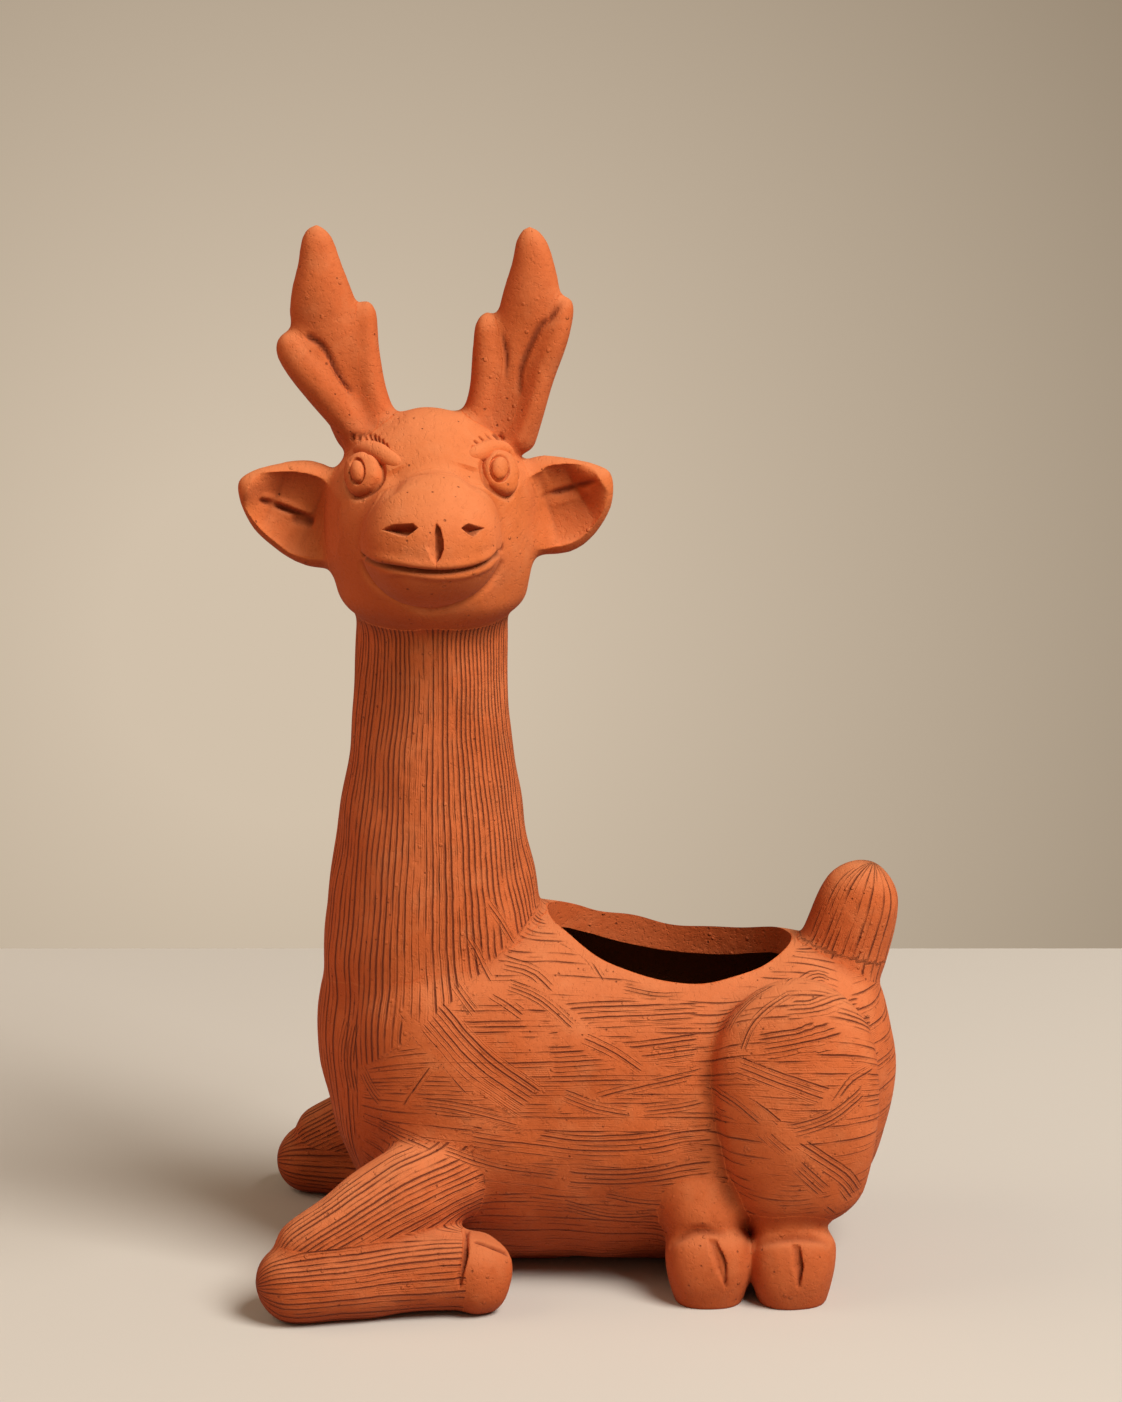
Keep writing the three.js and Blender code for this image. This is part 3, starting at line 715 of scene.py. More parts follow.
# Places for the eyes
# They are found on the whole head before it is hollowed, with the way that the clay faces there.
brow_rows = {
    "right": [(350, 450), (364, 447), (379, 452), (391, 459), (404, 465)],
    "left": [(467, 456), (481, 451), (495, 446), (508, 448), (515, 460)],
}
eye_edges = {name: [follow_from_camera(*spot) for spot in rows] for name, rows in eye_outlines.items()}
brow_spots = {name: thread(rows, 4) for name, rows in brow_rows.items()}
face_tree = BVHTree.FromObject(skin, bpy.context.evaluated_depsgraph_get())


def facing_at(spot):
    _, facing, _, _ = face_tree.find_nearest((Vector(spot) + setting) * mm)
    return facing


# Combing
# A toothed rib is dragged over the soft clay in short sweeps that cross and overrun each other.
# The comb and the sweep attribute hold the place across the teeth and along them in millimetres, and
# the pressure; comb is the ground that is worked all over, and sweep the stroke that lies over it.
smoothed_parts = ("head", "muzzle", "ear", "beam", "tine", "hoof", "shank", "pad", "pupil", "brow")
tooth_spacing = 3.0
neck_lines = 92
neck_axis = (-56, 0)
pot_axis = (2, 75)
pot_girth_radius = 66
girth_lines = 1.55
limb_radius = 22
rump_start = 124
chest_start = -88
ground_pressure = 0.5
leg_pressure = 0.85
tail_pressure = 0.45
sweep_closeness = 0.75
sweep_edge = 1.6
sweep_border = 2.5
crossing_fade = 2.5
back_seam = 0.04
back_pressure = 0.1
rubbed_out = 0.7
scoop_front = -80
scoop_top = 152
plain_rim = 3
rim_bottom = 100
rim_fade = 0.06
lens_slant = math.hypot(1, 0.2)
pixels_per_mm = focal_pixels / (camera_distance * lens_slant)
sweeps = [
    ([(489, 991), (524, 1015), (559, 1048)], 20, 3.0),
    ([(500, 963), (530, 972), (553, 993)], 22, 2.8),
    ([(466, 934), (478, 955), (492, 983)], 15, 2.4),
    ([(452, 980), (464, 998), (478, 1015)], 16, 2.6),
    ([(436, 1060), (420, 1082), (403, 1107)], 14, 2.8),
    ([(543, 1022), (620, 1016), (699, 1012)], 36, 3.1),
    ([(548, 1062), (620, 1058), (700, 1048)], 34, 2.9),
    ([(574, 1034), (610, 1050), (643, 1072)], 18, 3.0),
    ([(545, 1110), (612, 1094), (706, 1072)], 18, 2.6),
    ([(467, 1135), (590, 1150), (713, 1140)], 34, 3.0),
    ([(475, 1170), (590, 1182), (713, 1172)], 34, 3.2),
    ([(352, 1019), (345, 1060), (350, 1094)], 34, 2.9),
    ([(361, 1069), (370, 1088), (383, 1104)], 18, 2.5),
    ([(782, 1011), (822, 1006), (862, 1008)], 28, 2.8),
    ([(759, 1050), (815, 1040), (873, 1032)], 36, 2.8),
    ([(743, 1007), (780, 988), (812, 978), (831, 980)], 22, 2.6),
    ([(793, 992), (755, 1020), (739, 1055)], 16, 2.6),
    ([(734, 1066), (790, 1086), (852, 1105)], 26, 3.0),
    ([(707, 1097), (755, 1120), (835, 1180), (852, 1200)], 36, 3.2),
    ([(877, 1043), (856, 1080), (831, 1114)], 26, 2.8),
    ([(806, 1193), (822, 1203), (837, 1214)], 14, 2.4),
    ([(560, 940), (588, 958), (604, 982)], 16, 2.2),
    ([(486, 900), (500, 920), (516, 945)], 14, 2.2),
    ([(398, 1010), (430, 1050), (470, 1095)], 16, 2.6),
    ([(420, 1105), (470, 1112), (530, 1128)], 20, 2.3),
    ([(600, 1195), (650, 1203), (700, 1206)], 16, 2.6),
    ([(620, 985), (660, 992), (700, 990)], 20, 2.2),
    ([(505, 985), (540, 1000), (575, 1030)], 18, 2.2),
    ([(560, 1095), (600, 1110), (650, 1118)], 18, 2.2),
    ([(640, 1112), (680, 1108), (706, 1102)], 18, 2.2),
    ([(440, 1150), (500, 1168), (560, 1176)], 18, 2.3),
    ([(560, 1205), (610, 1216), (660, 1216)], 18, 2.5),
    ([(790, 1132), (830, 1120), (866, 1092)], 22, 2.4),
    ([(725, 1035), (745, 1005), (775, 985)], 18, 2.2),
    ([(375, 1122), (400, 1136), (430, 1150)], 20, 2.2),
    ([(795, 1165), (825, 1195), (850, 1222)], 24, 2.4),
    ([(700, 1085), (730, 1100), (762, 1125)], 18, 2.4),
    ([(429, 1014), (475, 1062), (532, 1104)], 46, 3.2),
]
neck_end = [follow_from_camera(*spot) for spot in ((540, 900), (410, 1040))]
sweep_lines = []
for rows, width, spacing in sweeps:
    line = thread(rows, 4)
    for mirror in (1, -1):
        sweep_lines.append((line * np.array((1, mirror, 1)), width / pixels_per_mm, spacing))


def wrap_round(spots, shape):
    walk = read_along(shape["points"], np.linspace(0, 1, 60))
    nearest = ((spots[:, None] - walk[None]) ** 2).sum(2).argmin(1)
    way = np.gradient(walk, axis=0)
    way /= np.linalg.norm(way, axis=1)[:, None]
    step = np.linalg.norm(np.diff(walk, axis=0), axis=1).mean()
    offset = spots - walk[nearest]
    along = nearest * step + np.einsum("ij,ij->i", offset, way[nearest])
    side = np.cross(np.array((0, 0, 1.0)), way[nearest])
    side[np.linalg.norm(side, axis=1) < 0.3] = (1, 0, 0)
    up = np.cross(way[nearest], side)
    turn = np.arctan2(np.einsum("ij,ij->i", offset, side), np.einsum("ij,ij->i", offset, up))
    return turn, along


def faces_axis(spots, normals):
    from_axis = spots * (0, 1, 1) - (0, *pot_axis)
    return np.einsum("ij,ij->i", from_axis, normals) < 0


def comb_round(name, spots, normals):
    comb = np.zeros((len(spots), 3))
    sweep = np.zeros((len(spots), 3))
    if name.endswith(smoothed_parts):
        return {"comb": comb, "sweep": sweep}
    x, y, z = spots.T
    turn = np.arctan2(x - neck_axis[0], neck_axis[1] - y)
    girth = np.arctan2(y - pot_axis[0], z - pot_axis[1])
    comb[:, 0] = girth * pot_girth_radius * girth_lines
    comb[:, 1] = x
    comb[:, 2] = ground_pressure
    if name == "body_pot":
        rump = x > rump_start
        comb[rump, 0] = z[rump] * girth_lines
        comb[rump, 1] = y[rump]
        comb[:, 2] *= np.clip((np.abs(x - rump_start) - 1) / 3, 0, 1)
    if name.endswith("leg") or name == "tail":
        limb_turn, limb_along = wrap_round(spots, clay[name])
        comb[:, 0] = limb_turn * limb_radius
        comb[:, 1] = limb_along
        comb[:, 2] = tail_pressure if name == "tail" else leg_pressure
        comb[:, 2] *= np.clip((np.pi - np.abs(limb_turn)) / 0.15, 0, 1)
    if name in ("neck", "body_pot"):
        slope = (neck_end[1][2] - neck_end[0][2]) / (neck_end[1][0] - neck_end[0][0])
        above = z - (neck_end[0][2] + (x - neck_end[0][0]) * slope)
        above = np.maximum(above, chest_start - x)
        on_neck = above > 0
        comb[on_neck, 0] = turn[on_neck] * neck_lines * tooth_spacing / (2 * np.pi)
        comb[on_neck, 1] = z[on_neck]
        comb[on_neck, 2] = 1
        comb[:, 2] *= np.clip(np.abs(above) / crossing_fade, 0, 1)
        behind = np.abs(turn) > np.pi - back_seam
        comb[on_neck & behind, 2] = back_pressure
    for line, width, spacing in sweep_lines:
        low = line.min(0) - width
        high = line.max(0) + width
        near = np.where(((spots > low) & (spots < high)).all(axis=1))[0]
        best = np.full(len(near), 1e9)
        across = np.zeros(len(near))
        along = np.zeros(len(near))
        whole_length = 0
        for start, end in zip(line[:-1], line[1:]):
            t, beside, gap = measure_from(start, end, spots[near])
            step = np.linalg.norm(end - start)
            sideways = np.cross(normals[near], (end - start) / step)
            closer = gap < best
            best[closer] = gap[closer]
            across[closer] = np.einsum("ij,ij->i", beside, sideways)[closer]
            along[closer] = whole_length + t[closer] * step
            whole_length += step
        inside = width / 2 - np.maximum(np.abs(across), best)
        inside = np.minimum(inside, 0.4 * np.minimum(along, whole_length - along) + 0.1)
        own = inside > 0
        beside_it = (inside > -sweep_border) & ~own
        free = sweep[near, 2] == 0
        reached = own | (beside_it & free)
        teeth = across[reached] * tooth_spacing / (sweep_closeness * spacing)
        sweep[near[reached], 0] = teeth + 0.5 * tooth_spacing
        sweep[near[reached], 1] = along[reached]
        crossed = beside_it & ~free
        sweep[near[crossed], 2] *= np.clip(-inside[crossed] - 1.2, 0, 1)
        sweep[near[own], 2] = np.clip(inside[own] / sweep_edge, 0, 1)
        comb[near[own], 2] *= 1 - rubbed_out * np.clip(inside[own] / 2, 0, 1)
    if name == "body_pot":
        scooped = faces_axis(spots, normals) & (x > scoop_front) & (z < scoop_top)
        length = mouth_half_length + plain_rim
        rim = np.hypot((x - mouth_centre) / length, y / (mouth_half_width + plain_rim))
        past_rim = np.clip((rim - 1) / rim_fade, 0, 1)
        worked = np.where(scooped, 0, 1) * np.where(z > rim_bottom, past_rim, 1)
        comb[:, 2] *= worked
        sweep[:, 2] *= worked
    return {"comb": comb, "sweep": sweep}


# Hollowing
# The potter cuts the planting mouth with a wire, scoops out pot, neck and head, and pierces the drain.
pot_wall = 11
neck_wall = 9
head_wall = 9
floor_thickness = 12
mouth_centre = 48
mouth_half_length = 54
mouth_half_width = 40
mouth_heights = (75, 300)
drain_centre = 30
drain_radius = 7
drain_heights = (-12, 24)
bore_top = (-56, 0, 323)


def cut_with(piece, operation, tool):
    cut = piece.modifiers.new(operation, "BOOLEAN")
    cut.operation = operation
    cut.solver = "MANIFOLD"
    cut.object = tool
    settle(piece)


def upright_oval(x, half_length, half_width, heights, sides=96):
    bottom, top = heights
    oval = bmesh.new()
    bmesh.ops.create_cone(oval, cap_ends=True, segments=sides, radius1=1, radius2=1, depth=1)
    size = (half_length * mm, half_width * mm, (top - bottom) * mm)
    bmesh.ops.scale(oval, verts=oval.verts, vec=size)
    bmesh.ops.translate(oval, verts=oval.verts, vec=(Vector((x, 0, (bottom + top) / 2)) + setting) * mm)
    return oval


hollow = roll_clay(clay["body_pot"], -pot_wall, 24, 40)
floor_level = (floor_thickness + setting.z) * mm
for vert in hollow.verts:
    vert.co.z = max(vert.co.z, floor_level)
bore = dict(clay["neck"], points=[*clay["neck"]["points"][:-1], bore_top])
mouth = upright_oval(mouth_centre, mouth_half_length, mouth_half_width, mouth_heights)
drain = upright_oval(drain_centre, drain_radius, drain_radius, drain_heights, 40)
scoops = [
    hollow,
    roll_clay(bore, -neck_wall, 24, 32),
    roll_clay(clay["head"], -head_wall, 20, 32),
    mouth,
    drain,
]
scoop = lay_out("scoop", scoops[0])
for ball in scoops[1:]:
    other = lay_out("other_scoop", ball)
    cut_with(scoop, "UNION", other)
    bpy.data.objects.remove(other)
cut_with(skin, "DIFFERENCE", scoop)
bpy.data.objects.remove(scoop)


# Parting
# Each piece keeps the skin that lies on its own clay; the seams follow the valleys between them.
# The groups are cut in turn. A piece is listed with how far its clay reaches and what it seats on.
parting = [[("neck", 6, ["body_pot", "head"])], [("muzzle", 3, ["head"])]]
for name in ("right", "left"):
    antler = f"{name}_antler"
    parting[1] += [
        (f"{name}_ear", 6, ["head"]),
        (f"{antler}_outer_tine", 4, ["head", f"{antler}_beam"]),
        (f"{antler}_inner_tine", 4, ["head", f"{antler}_beam"]),
        (f"{antler}_beam", 6, ["head"]),
    ]
    front_leg = f"{name}_front"
    parting.append([
        (f"{front_leg}_hoof", 1.5, ["body_pot"]),
        (f"{front_leg}_lower_leg", 3, ["body_pot"]),
        (f"{front_leg}_upper_leg", 6, ["body_pot", "neck"]),
    ])
parting[1].append(("head", 12, []))
hind_feet = [(f"{name}_hind_hoof", 1.5, ["body_pot"]) for name in ("right", "left")]
hind_feet += [(f"{name}_hind_shank", 3, ["body_pot"]) for name in ("right", "left")]
parting.append(hind_feet + [("left_thigh", 6, ["body_pot"])])
parting += [[("right_thigh", 6, ["body_pot"])], [("tail", 6, ["body_pot"])]]
seat_rise = 1
seat_step = 0.02


def span_of(pieces_of_clay, margin=2):
    corners = np.vstack([read_spots(piece.data) for piece in pieces_of_clay])
    return corners.min(0) - margin, corners.max(0) + margin


def crate(low, high):
    box = bmesh.new()
    bmesh.ops.create_cube(box, size=1)
    bmesh.ops.scale(box, verts=box.verts, vec=Vector(high - low) * mm)
    bmesh.ops.translate(box, verts=box.verts, vec=(Vector((low + high) / 2) + setting) * mm)
    return box


def cut_once(piece, operation, ball):
    tool = lay_out("tool", ball)
    cut_with(piece, operation, tool)
    bpy.data.objects.remove(tool)


def copy_of(piece, name):
    copied = bpy.data.objects.new(name, piece.data.copy())
    scene.collection.objects.link(copied)
    return copied


pieces = {}
reached = []
all_cells = None
for group in parting:
    cells = []
    for name, reach, seats in group:
        cell = lay_out(f"{name}_cell", roll_clay(clay[name], reach, 20, 24))
        for seat in seats:
            rise = seat_rise + seat_step * len(reached)
            cut_once(cell, "DIFFERENCE", roll_clay(clay[seat], rise, 24, 32))
        own = copy_of(cell, f"{name}_own")
        low, high = span_of([cell])
        for earlier, earlier_low, earlier_high in reached:
            if (low < earlier_high).all() and (high > earlier_low).all():
                cut_with(own, "DIFFERENCE", earlier)
        reached.append((cell, low, high))
        cells.append((name, own))
        if all_cells is None:
            all_cells = copy_of(cell, "all_cells")
        else:
            cut_with(all_cells, "UNION", cell)
    portion = copy_of(skin, "portion")
    if len(cells) > 1:
        cut_once(portion, "INTERSECT", crate(*span_of([own for _, own in cells])))
    for name, own in cells:
        piece = copy_of(portion, name + "_clay")
        cut_with(piece, "INTERSECT", own)
        bpy.data.objects.remove(own)
        pieces[name] = piece
    bpy.data.objects.remove(portion)
cut_with(skin, "DIFFERENCE", all_cells)
bpy.data.objects.remove(all_cells)
for cell, _, _ in reached:
    bpy.data.objects.remove(cell)
skin.name = "body_pot_clay"
pieces["body_pot"] = skin


# The eyes and brows
# Each eye is a drop of clay flattened onto the face; a small button is its pupil, with a ring round it.
# The brow is a thin roll bent over the eye and worked in with the finger.
# A pupil's row gives its middle, its half width and its half height in the photograph.
pupil_places = {"right": ((357, 471), 6, 10.5), "left": ((500, 468), 8, 11)}
eye_pad_rise = 5.6
pupil_rise = 2.0
pupil_foot = 1.2
ring_depth = 2.0
ring_place = 1.13
ring_width = 0.13
brow_half_width = 4.0
brow_sink = 1.7
pad_fullness = 0.25
pad_steepness = 0.8


def dome(spot, facing, outline, rise, sides=48, rings=24):
    across = facing.cross(Vector((0, 0, 1))).normalized()
    above = across.cross(facing)
    offsets = [Vector(place) - Vector(spot) for place in outline]
    flat = np.array([(offset.dot(across), offset.dot(above)) for offset in offsets])
    turn = np.arctan2(flat[:, 1], flat[:, 0])
    order = np.argsort(turn)
    turn = turn[order]
    out = np.linalg.norm(flat, axis=1)[order]
    ball = bmesh.new()
    bmesh.ops.create_uvsphere(ball, u_segments=sides, v_segments=rings, radius=1)
    for vert in ball.verts:
        angle = math.atan2(vert.co.y, vert.co.x)
        reach = np.interp(angle, turn, out, period=2 * math.pi)
        fuller = max(math.hypot(vert.co.x, vert.co.y), 0.01) ** -pad_fullness
        up = math.copysign(abs(vert.co.z) ** pad_steepness, vert.co.z)
        flat_spot = (across * vert.co.x + above * vert.co.y) * (reach * fuller) + facing * (up * rise)
        vert.co = (Vector(spot) + flat_spot + setting) * mm
    return turn_outwards(ball)


for name, outline in eye_edges.items():
    middle = np.mean(outline, axis=0)
    facing = facing_at(middle)
    pad = dome(middle, facing, outline, eye_pad_rise, 120, 80)
    middle, half_width, half_height = pupil_places[name]
    pad_tree = BVHTree.FromBMesh(pad)
    spot, looking, _, _ = pad_tree.ray_cast(camera.location, aim_from_camera(*middle))
    button = bmesh.new()
    bmesh.ops.create_uvsphere(button, u_segments=48, v_segments=24, radius=1)
    for vert in button.verts:
        sight = aim_from_camera(middle[0] + vert.co.x * half_width, middle[1] - vert.co.y * half_height)
        under = pad_tree.ray_cast(camera.location, sight)[0] or spot
        rise = pupil_rise if vert.co.z > 0 else pupil_foot
        vert.co = under + looking * (rise * vert.co.z * mm)
    pieces[f"{name}_pupil"] = lay_out(f"{name}_pupil_clay", turn_outwards(button))
    for vert in pad.verts:
        seen = seen_from_camera(np.array([vert.co / mm - setting]))[0]
        ring = math.hypot((seen[0] - middle[0]) / half_width, (seen[1] - middle[1]) / half_height)
        if (vert.co - spot).dot(looking) > -6 * mm:
            vert.co -= looking * (ring_depth * mm * math.exp(-(((ring - ring_place) / ring_width) ** 2)))
    pieces[f"{name}_eye_pad"] = lay_out(f"{name}_eye_pad_clay", pad)
    rows = brow_spots[name]
    brow = {
        "points": [np.array(row) - np.array(facing_at(row)) * brow_sink for row in rows],
        "wide": [brow_half_width * share for share in (0.55, 1, 1.1, 1, 0.9, 0.5)],
        "deep": [brow_half_width * share for share in (0.45, 0.8, 0.85, 0.8, 0.7, 0.45)],
        "round": (5, 5),
        "deep_way": tuple(facing_at(rows[len(rows) // 2])),
    }
    pieces[f"{name}_brow"] = lay_out(f"{name}_brow_clay", roll_clay(brow, 0, 32, 32))


# Finishing the pieces
# Each piece keeps its comb marks, and loses the crumbs that the parting wire left.
smallest_chip = 60
sharp_edge = math.radians(50)
rim_edge = math.radians(26)
inside_middle = 28
inside_half_length = 109
inside_top = 150
for name, piece in pieces.items():
    data = piece.data
    ball = bmesh.new()
    ball.from_mesh(data)
    left_over = set(ball.verts)
    while left_over:
        chip = {left_over.pop()}
        edge_of_chip = list(chip)
        while edge_of_chip:
            vert = edge_of_chip.pop()
            for edge in vert.link_edges:
                other = edge.other_vert(vert)
                if other in left_over:
                    left_over.remove(other)
                    chip.add(other)
                    edge_of_chip.append(other)
        if len(chip) < smallest_chip:
            bmesh.ops.delete(ball, geom=list(chip), context="VERTS")
    ball.to_mesh(data)
    ball.free()
    spots = read_spots(data)
    normals = read_normals(data)
    # The pot's inner walls are kept as scooped, which the colour paints dark as shade.
    inner = faces_axis(spots, normals) & (np.abs(spots[:, 0] - inside_middle) < inside_half_length)
    inner &= (spots[:, 2] < inside_top) & (name == "body_pot")
    keep_marks(data, {**comb_round(name, spots, normals), "scooped": inner})
    if not data.attributes.get("facing"):
        unmarked = np.zeros(len(spots))
        keep_marks(data, {"pressed": unmarked, "recess": unmarked})
        keep_marks(data, {"facing": normals[:, 2], "toward_lamp": normals @ lamp_side})
    data.polygons.foreach_set("use_smooth", np.ones(len(data.polygons), bool))
    data.set_sharp_from_angle(angle=rim_edge if name == "body_pot" else sharp_edge)


# The terracotta
# Low-fired red earthenware, unglazed: dull and orange; the marks, hollows and pits are painted a deep
# red-brown as shade.
# Combed clay has the teeth's grooves and crumbs; smoothed clay only the drag of a wet finger.
# The real grain is finer, near 0.3 mm, and is drawn coarse enough to show. Sizes are in millimetres.
clay_light = "D26C38"
clay_body = "C7602B"
clay_deep = "A5430F"
smooth_light = "DA743E"
smooth_body = "D06A2F"
smooth_deep = "B3521B"
shade_brown = "651F04"
dust_and_top_light = "E08F5C"
inside_shade_brown = "5A4A20"
under_shade_brown = "8E3306"
shade_red = "C24C16"
clay_roughness = 0.84
# A cloudy pattern's row gives its size and how much finer detail lies in it.
cloudy_patterns = {
    "grain": (0.8, 3),
    "burr": (2.6, 2),
    "blotch": (5, 3),
    "smear": (9, 2),
    "dust": (11, 4),
    "patch": (16, 1),
    "cloud": (34, 3),
    "sway": (55, 1),
}
crumb_size = 3.6
pit_size = 5.2
hairline_width = 1.6
fine_tooth_spacing = 1.15
stroke_length = 17
groove_depth = 0.75
groove_shade = 0.85
burr_height = 0.45
crumb_height = 0.55
pit_depth = 0.5
deepest_shade = 0.92
rim_of_mouth = 1.015


def from_srgb(hex_colour):
    parts = [int(hex_colour[k : k + 2], 16) / 255 for k in (0, 2, 4)]
    return [c / 12.92 if c <= 0.04045 else ((c + 0.055) / 1.055) ** 2.4 for c in parts] + [1]


def add(tree, kind, inputs=(), operation=None, output=0, **settings):
    node = tree.nodes.new("ShaderNode" + kind)
    if operation:
        node.operation = operation
    for name, value in settings.items():
        setattr(node, name, value)
    named = inputs if isinstance(inputs, dict) else dict(enumerate(inputs))
    for socket, value in named.items():
        if isinstance(value, bpy.types.NodeSocket):
            tree.links.new(value, node.inputs[socket])
        else:
            node.inputs[socket].default_value = value
    return node.outputs[output] if node.outputs else node


def fired_clay(name, combed, light, body, deep):
    material = bpy.data.materials.new(name)
    material.use_nodes = True
    tree = material.node_tree
    tree.nodes.clear()
    place = add(tree, "TexCoord", output="Object")
    marks = ("pressed", "recess", "facing", "toward_lamp", "scooped")
    pressed, recess, facing, toward_lamp, scooped = (
        add(tree, "Attribute", output="Fac", attribute_name=mark) for mark in marks
    )
    height_above_floor = add(tree, "SeparateXYZ", (place,), output=2)
    mouth_middle = (Vector((mouth_centre, 0, 0)) + Vector((setting.x, setting.y, 0))) * mm
    mouth_scale = (1 / (mouth_half_length * mm), 1 / (mouth_half_width * mm), 0)
    beside_mouth = add(tree, "VectorMath", (place, mouth_middle), "SUBTRACT")
    beside_mouth = add(tree, "VectorMath", (beside_mouth, mouth_scale), "MULTIPLY")
    beside_mouth = add(tree, "VectorMath", (beside_mouth,), "LENGTH", "Value")
    past_mouth = add(tree, "Math", (beside_mouth, rim_of_mouth), "GREATER_THAN")
    noises = {}
    for pattern, (size, detail) in cloudy_patterns.items():
        sockets = {"Vector": place, "Scale": 1 / (size * mm), "Detail": detail}
        noises[pattern] = add(tree, "TexNoise", sockets)
    reliefs = [(noises["smear"], 0.5), (noises["grain"], 0.16), (noises["burr"], 0.24)]

    soft = {"interpolation_type": "SMOOTHSTEP"}
    stretch = {"Vector": place, "Rotation": (0.5, 0.3, 0.9), "Scale": (1, 0.12, 1)}
    stretched = add(tree, "Mapping", stretch)
    hairlines = add(tree, "TexNoise", {"Vector": stretched, "Scale": 1 / (hairline_width * mm)})
    hairlines = add(tree, "MapRange", (hairlines, 0.56, 0.68), **soft)
    reliefs.append((hairlines, -0.14))

    pit = add(tree, "TexVoronoi", {"Vector": place, "Scale": 1 / (pit_size * mm)})
    pit_random = add(tree, "SeparateColor", (pit.node.outputs["Color"],))
    pits = add(tree, "Math", (pit_random, 0.1), "MULTIPLY")
    pits = add(tree, "Math", (pits, pit), "SUBTRACT")
    pits = add(tree, "MapRange", (pits, -0.04, 0.03), **soft)
    some = add(tree, "Math", (pit_random, 0.55), "GREATER_THAN")
    pits = add(tree, "Math", (pits, some), "MULTIPLY")
    reliefs.append((pits, -pit_depth))
    # Painted shade: the colour is darkened in the skin's hollows, the pressed lines and the pits, and below
    # also in the comb grooves.
    painted_shades = [(recess, 0.4), (pressed, 0.45), (pits, 0.5)]

    sway = add(tree, "Math", (noises["sway"], 5.0, -2.5), "MULTIPLY_ADD")
    sway = add(tree, "Math", (noises["smear"], 0.9, sway), "MULTIPLY_ADD")
    for mark in ("comb", "sweep") if combed else ():
        dragged = add(tree, "Attribute", output="Vector", attribute_name=mark)
        across, along, pressure = add(tree, "SeparateXYZ", (dragged,)).node.outputs
        across = add(tree, "Math", (across, sway), "ADD")
        teeth = add(tree, "Math", (across, 1 / tooth_spacing), "MULTIPLY")
        tooth = add(tree, "Math", (teeth,), "FLOOR")
        random_tooth = add(tree, "TexWhiteNoise", {"W": tooth}, noise_dimensions="1D")
        from_middle = add(tree, "Math", (teeth,), "FRACT")
        from_middle = add(tree, "Math", (from_middle, 0.5), "SUBTRACT")
        from_middle = add(tree, "Math", (from_middle,), "ABSOLUTE")
        half_groove = add(tree, "Math", (random_tooth, 0.22, 0.1), "MULTIPLY_ADD")
        beside = add(tree, "Math", (half_groove, -1.0), "MULTIPLY")
        beside = add(tree, "Math", (from_middle, tooth_spacing, beside), "MULTIPLY_ADD")
        row = add(tree, "Math", (tooth, 3.7), "MULTIPLY")
        step = add(tree, "Math", (along, 1 / stroke_length), "MULTIPLY")
        walk = add(tree, "CombineXYZ", (row, step))
        weight = add(tree, "TexNoise", {"Vector": walk, "Scale": 1.0})
        weight = add(tree, "Math", (random_tooth, 0.35, weight), "MULTIPLY_ADD")
        weight = add(tree, "Math", (pressure, 0.4, weight), "MULTIPLY_ADD")
        weight = add(tree, "MapRange", (weight, 0.74, 1.14), **soft)
        firm = add(tree, "Math", (pressure, 2.5), "MULTIPLY", use_clamp=True)
        weight = add(tree, "Math", (weight, firm), "MULTIPLY")
        groove = add(tree, "MapRange", (beside, 0.26, -0.1), **soft)
        groove = add(tree, "Math", (groove, weight), "MULTIPLY")
        burr = add(tree, "Math", (beside, 0.45), "SUBTRACT")
        burr = add(tree, "Math", (burr,), "ABSOLUTE")
        burr = add(tree, "MapRange", (burr, 0.35, 0.0), **soft)
        burr = add(tree, "Math", (burr, weight), "MULTIPLY")
        burr = add(tree, "Math", (burr, noises["burr"]), "MULTIPLY")
        fine = add(tree, "Math", (across, 2 * math.pi / fine_tooth_spacing), "MULTIPLY")
        fine = add(tree, "Math", (fine,), "SINE")
        in_places = add(tree, "MapRange", (noises["patch"], 0.5, 0.62), **soft)
        fine = add(tree, "Math", (fine, in_places), "MULTIPLY")
        fine = add(tree, "Math", (fine, pressure), "MULTIPLY")
        reliefs += [(groove, -groove_depth), (burr, burr_height), (fine, 0.1)]
        painted_shades += [(groove, groove_shade), (fine, -0.07)]
    crumb = add(tree, "TexVoronoi", {"Vector": place, "Scale": 1 / (crumb_size * mm)})
    crumb_random = add(tree, "SeparateColor", (crumb.node.outputs["Color"],), output=1)
    crumbs = add(tree, "MapRange", (crumb, 0.3, 0.12), **soft)
    some = add(tree, "Math", (crumb_random, 0.8 if combed else 0.9), "GREATER_THAN")
    crumbs = add(tree, "Math", (crumbs, some), "MULTIPLY")
    in_places = add(tree, "MapRange", (noises["patch"], 0.44, 0.54), **soft)
    crumbs = add(tree, "Math", (crumbs, in_places), "MULTIPLY")
    reliefs.append((crumbs, crumb_height))

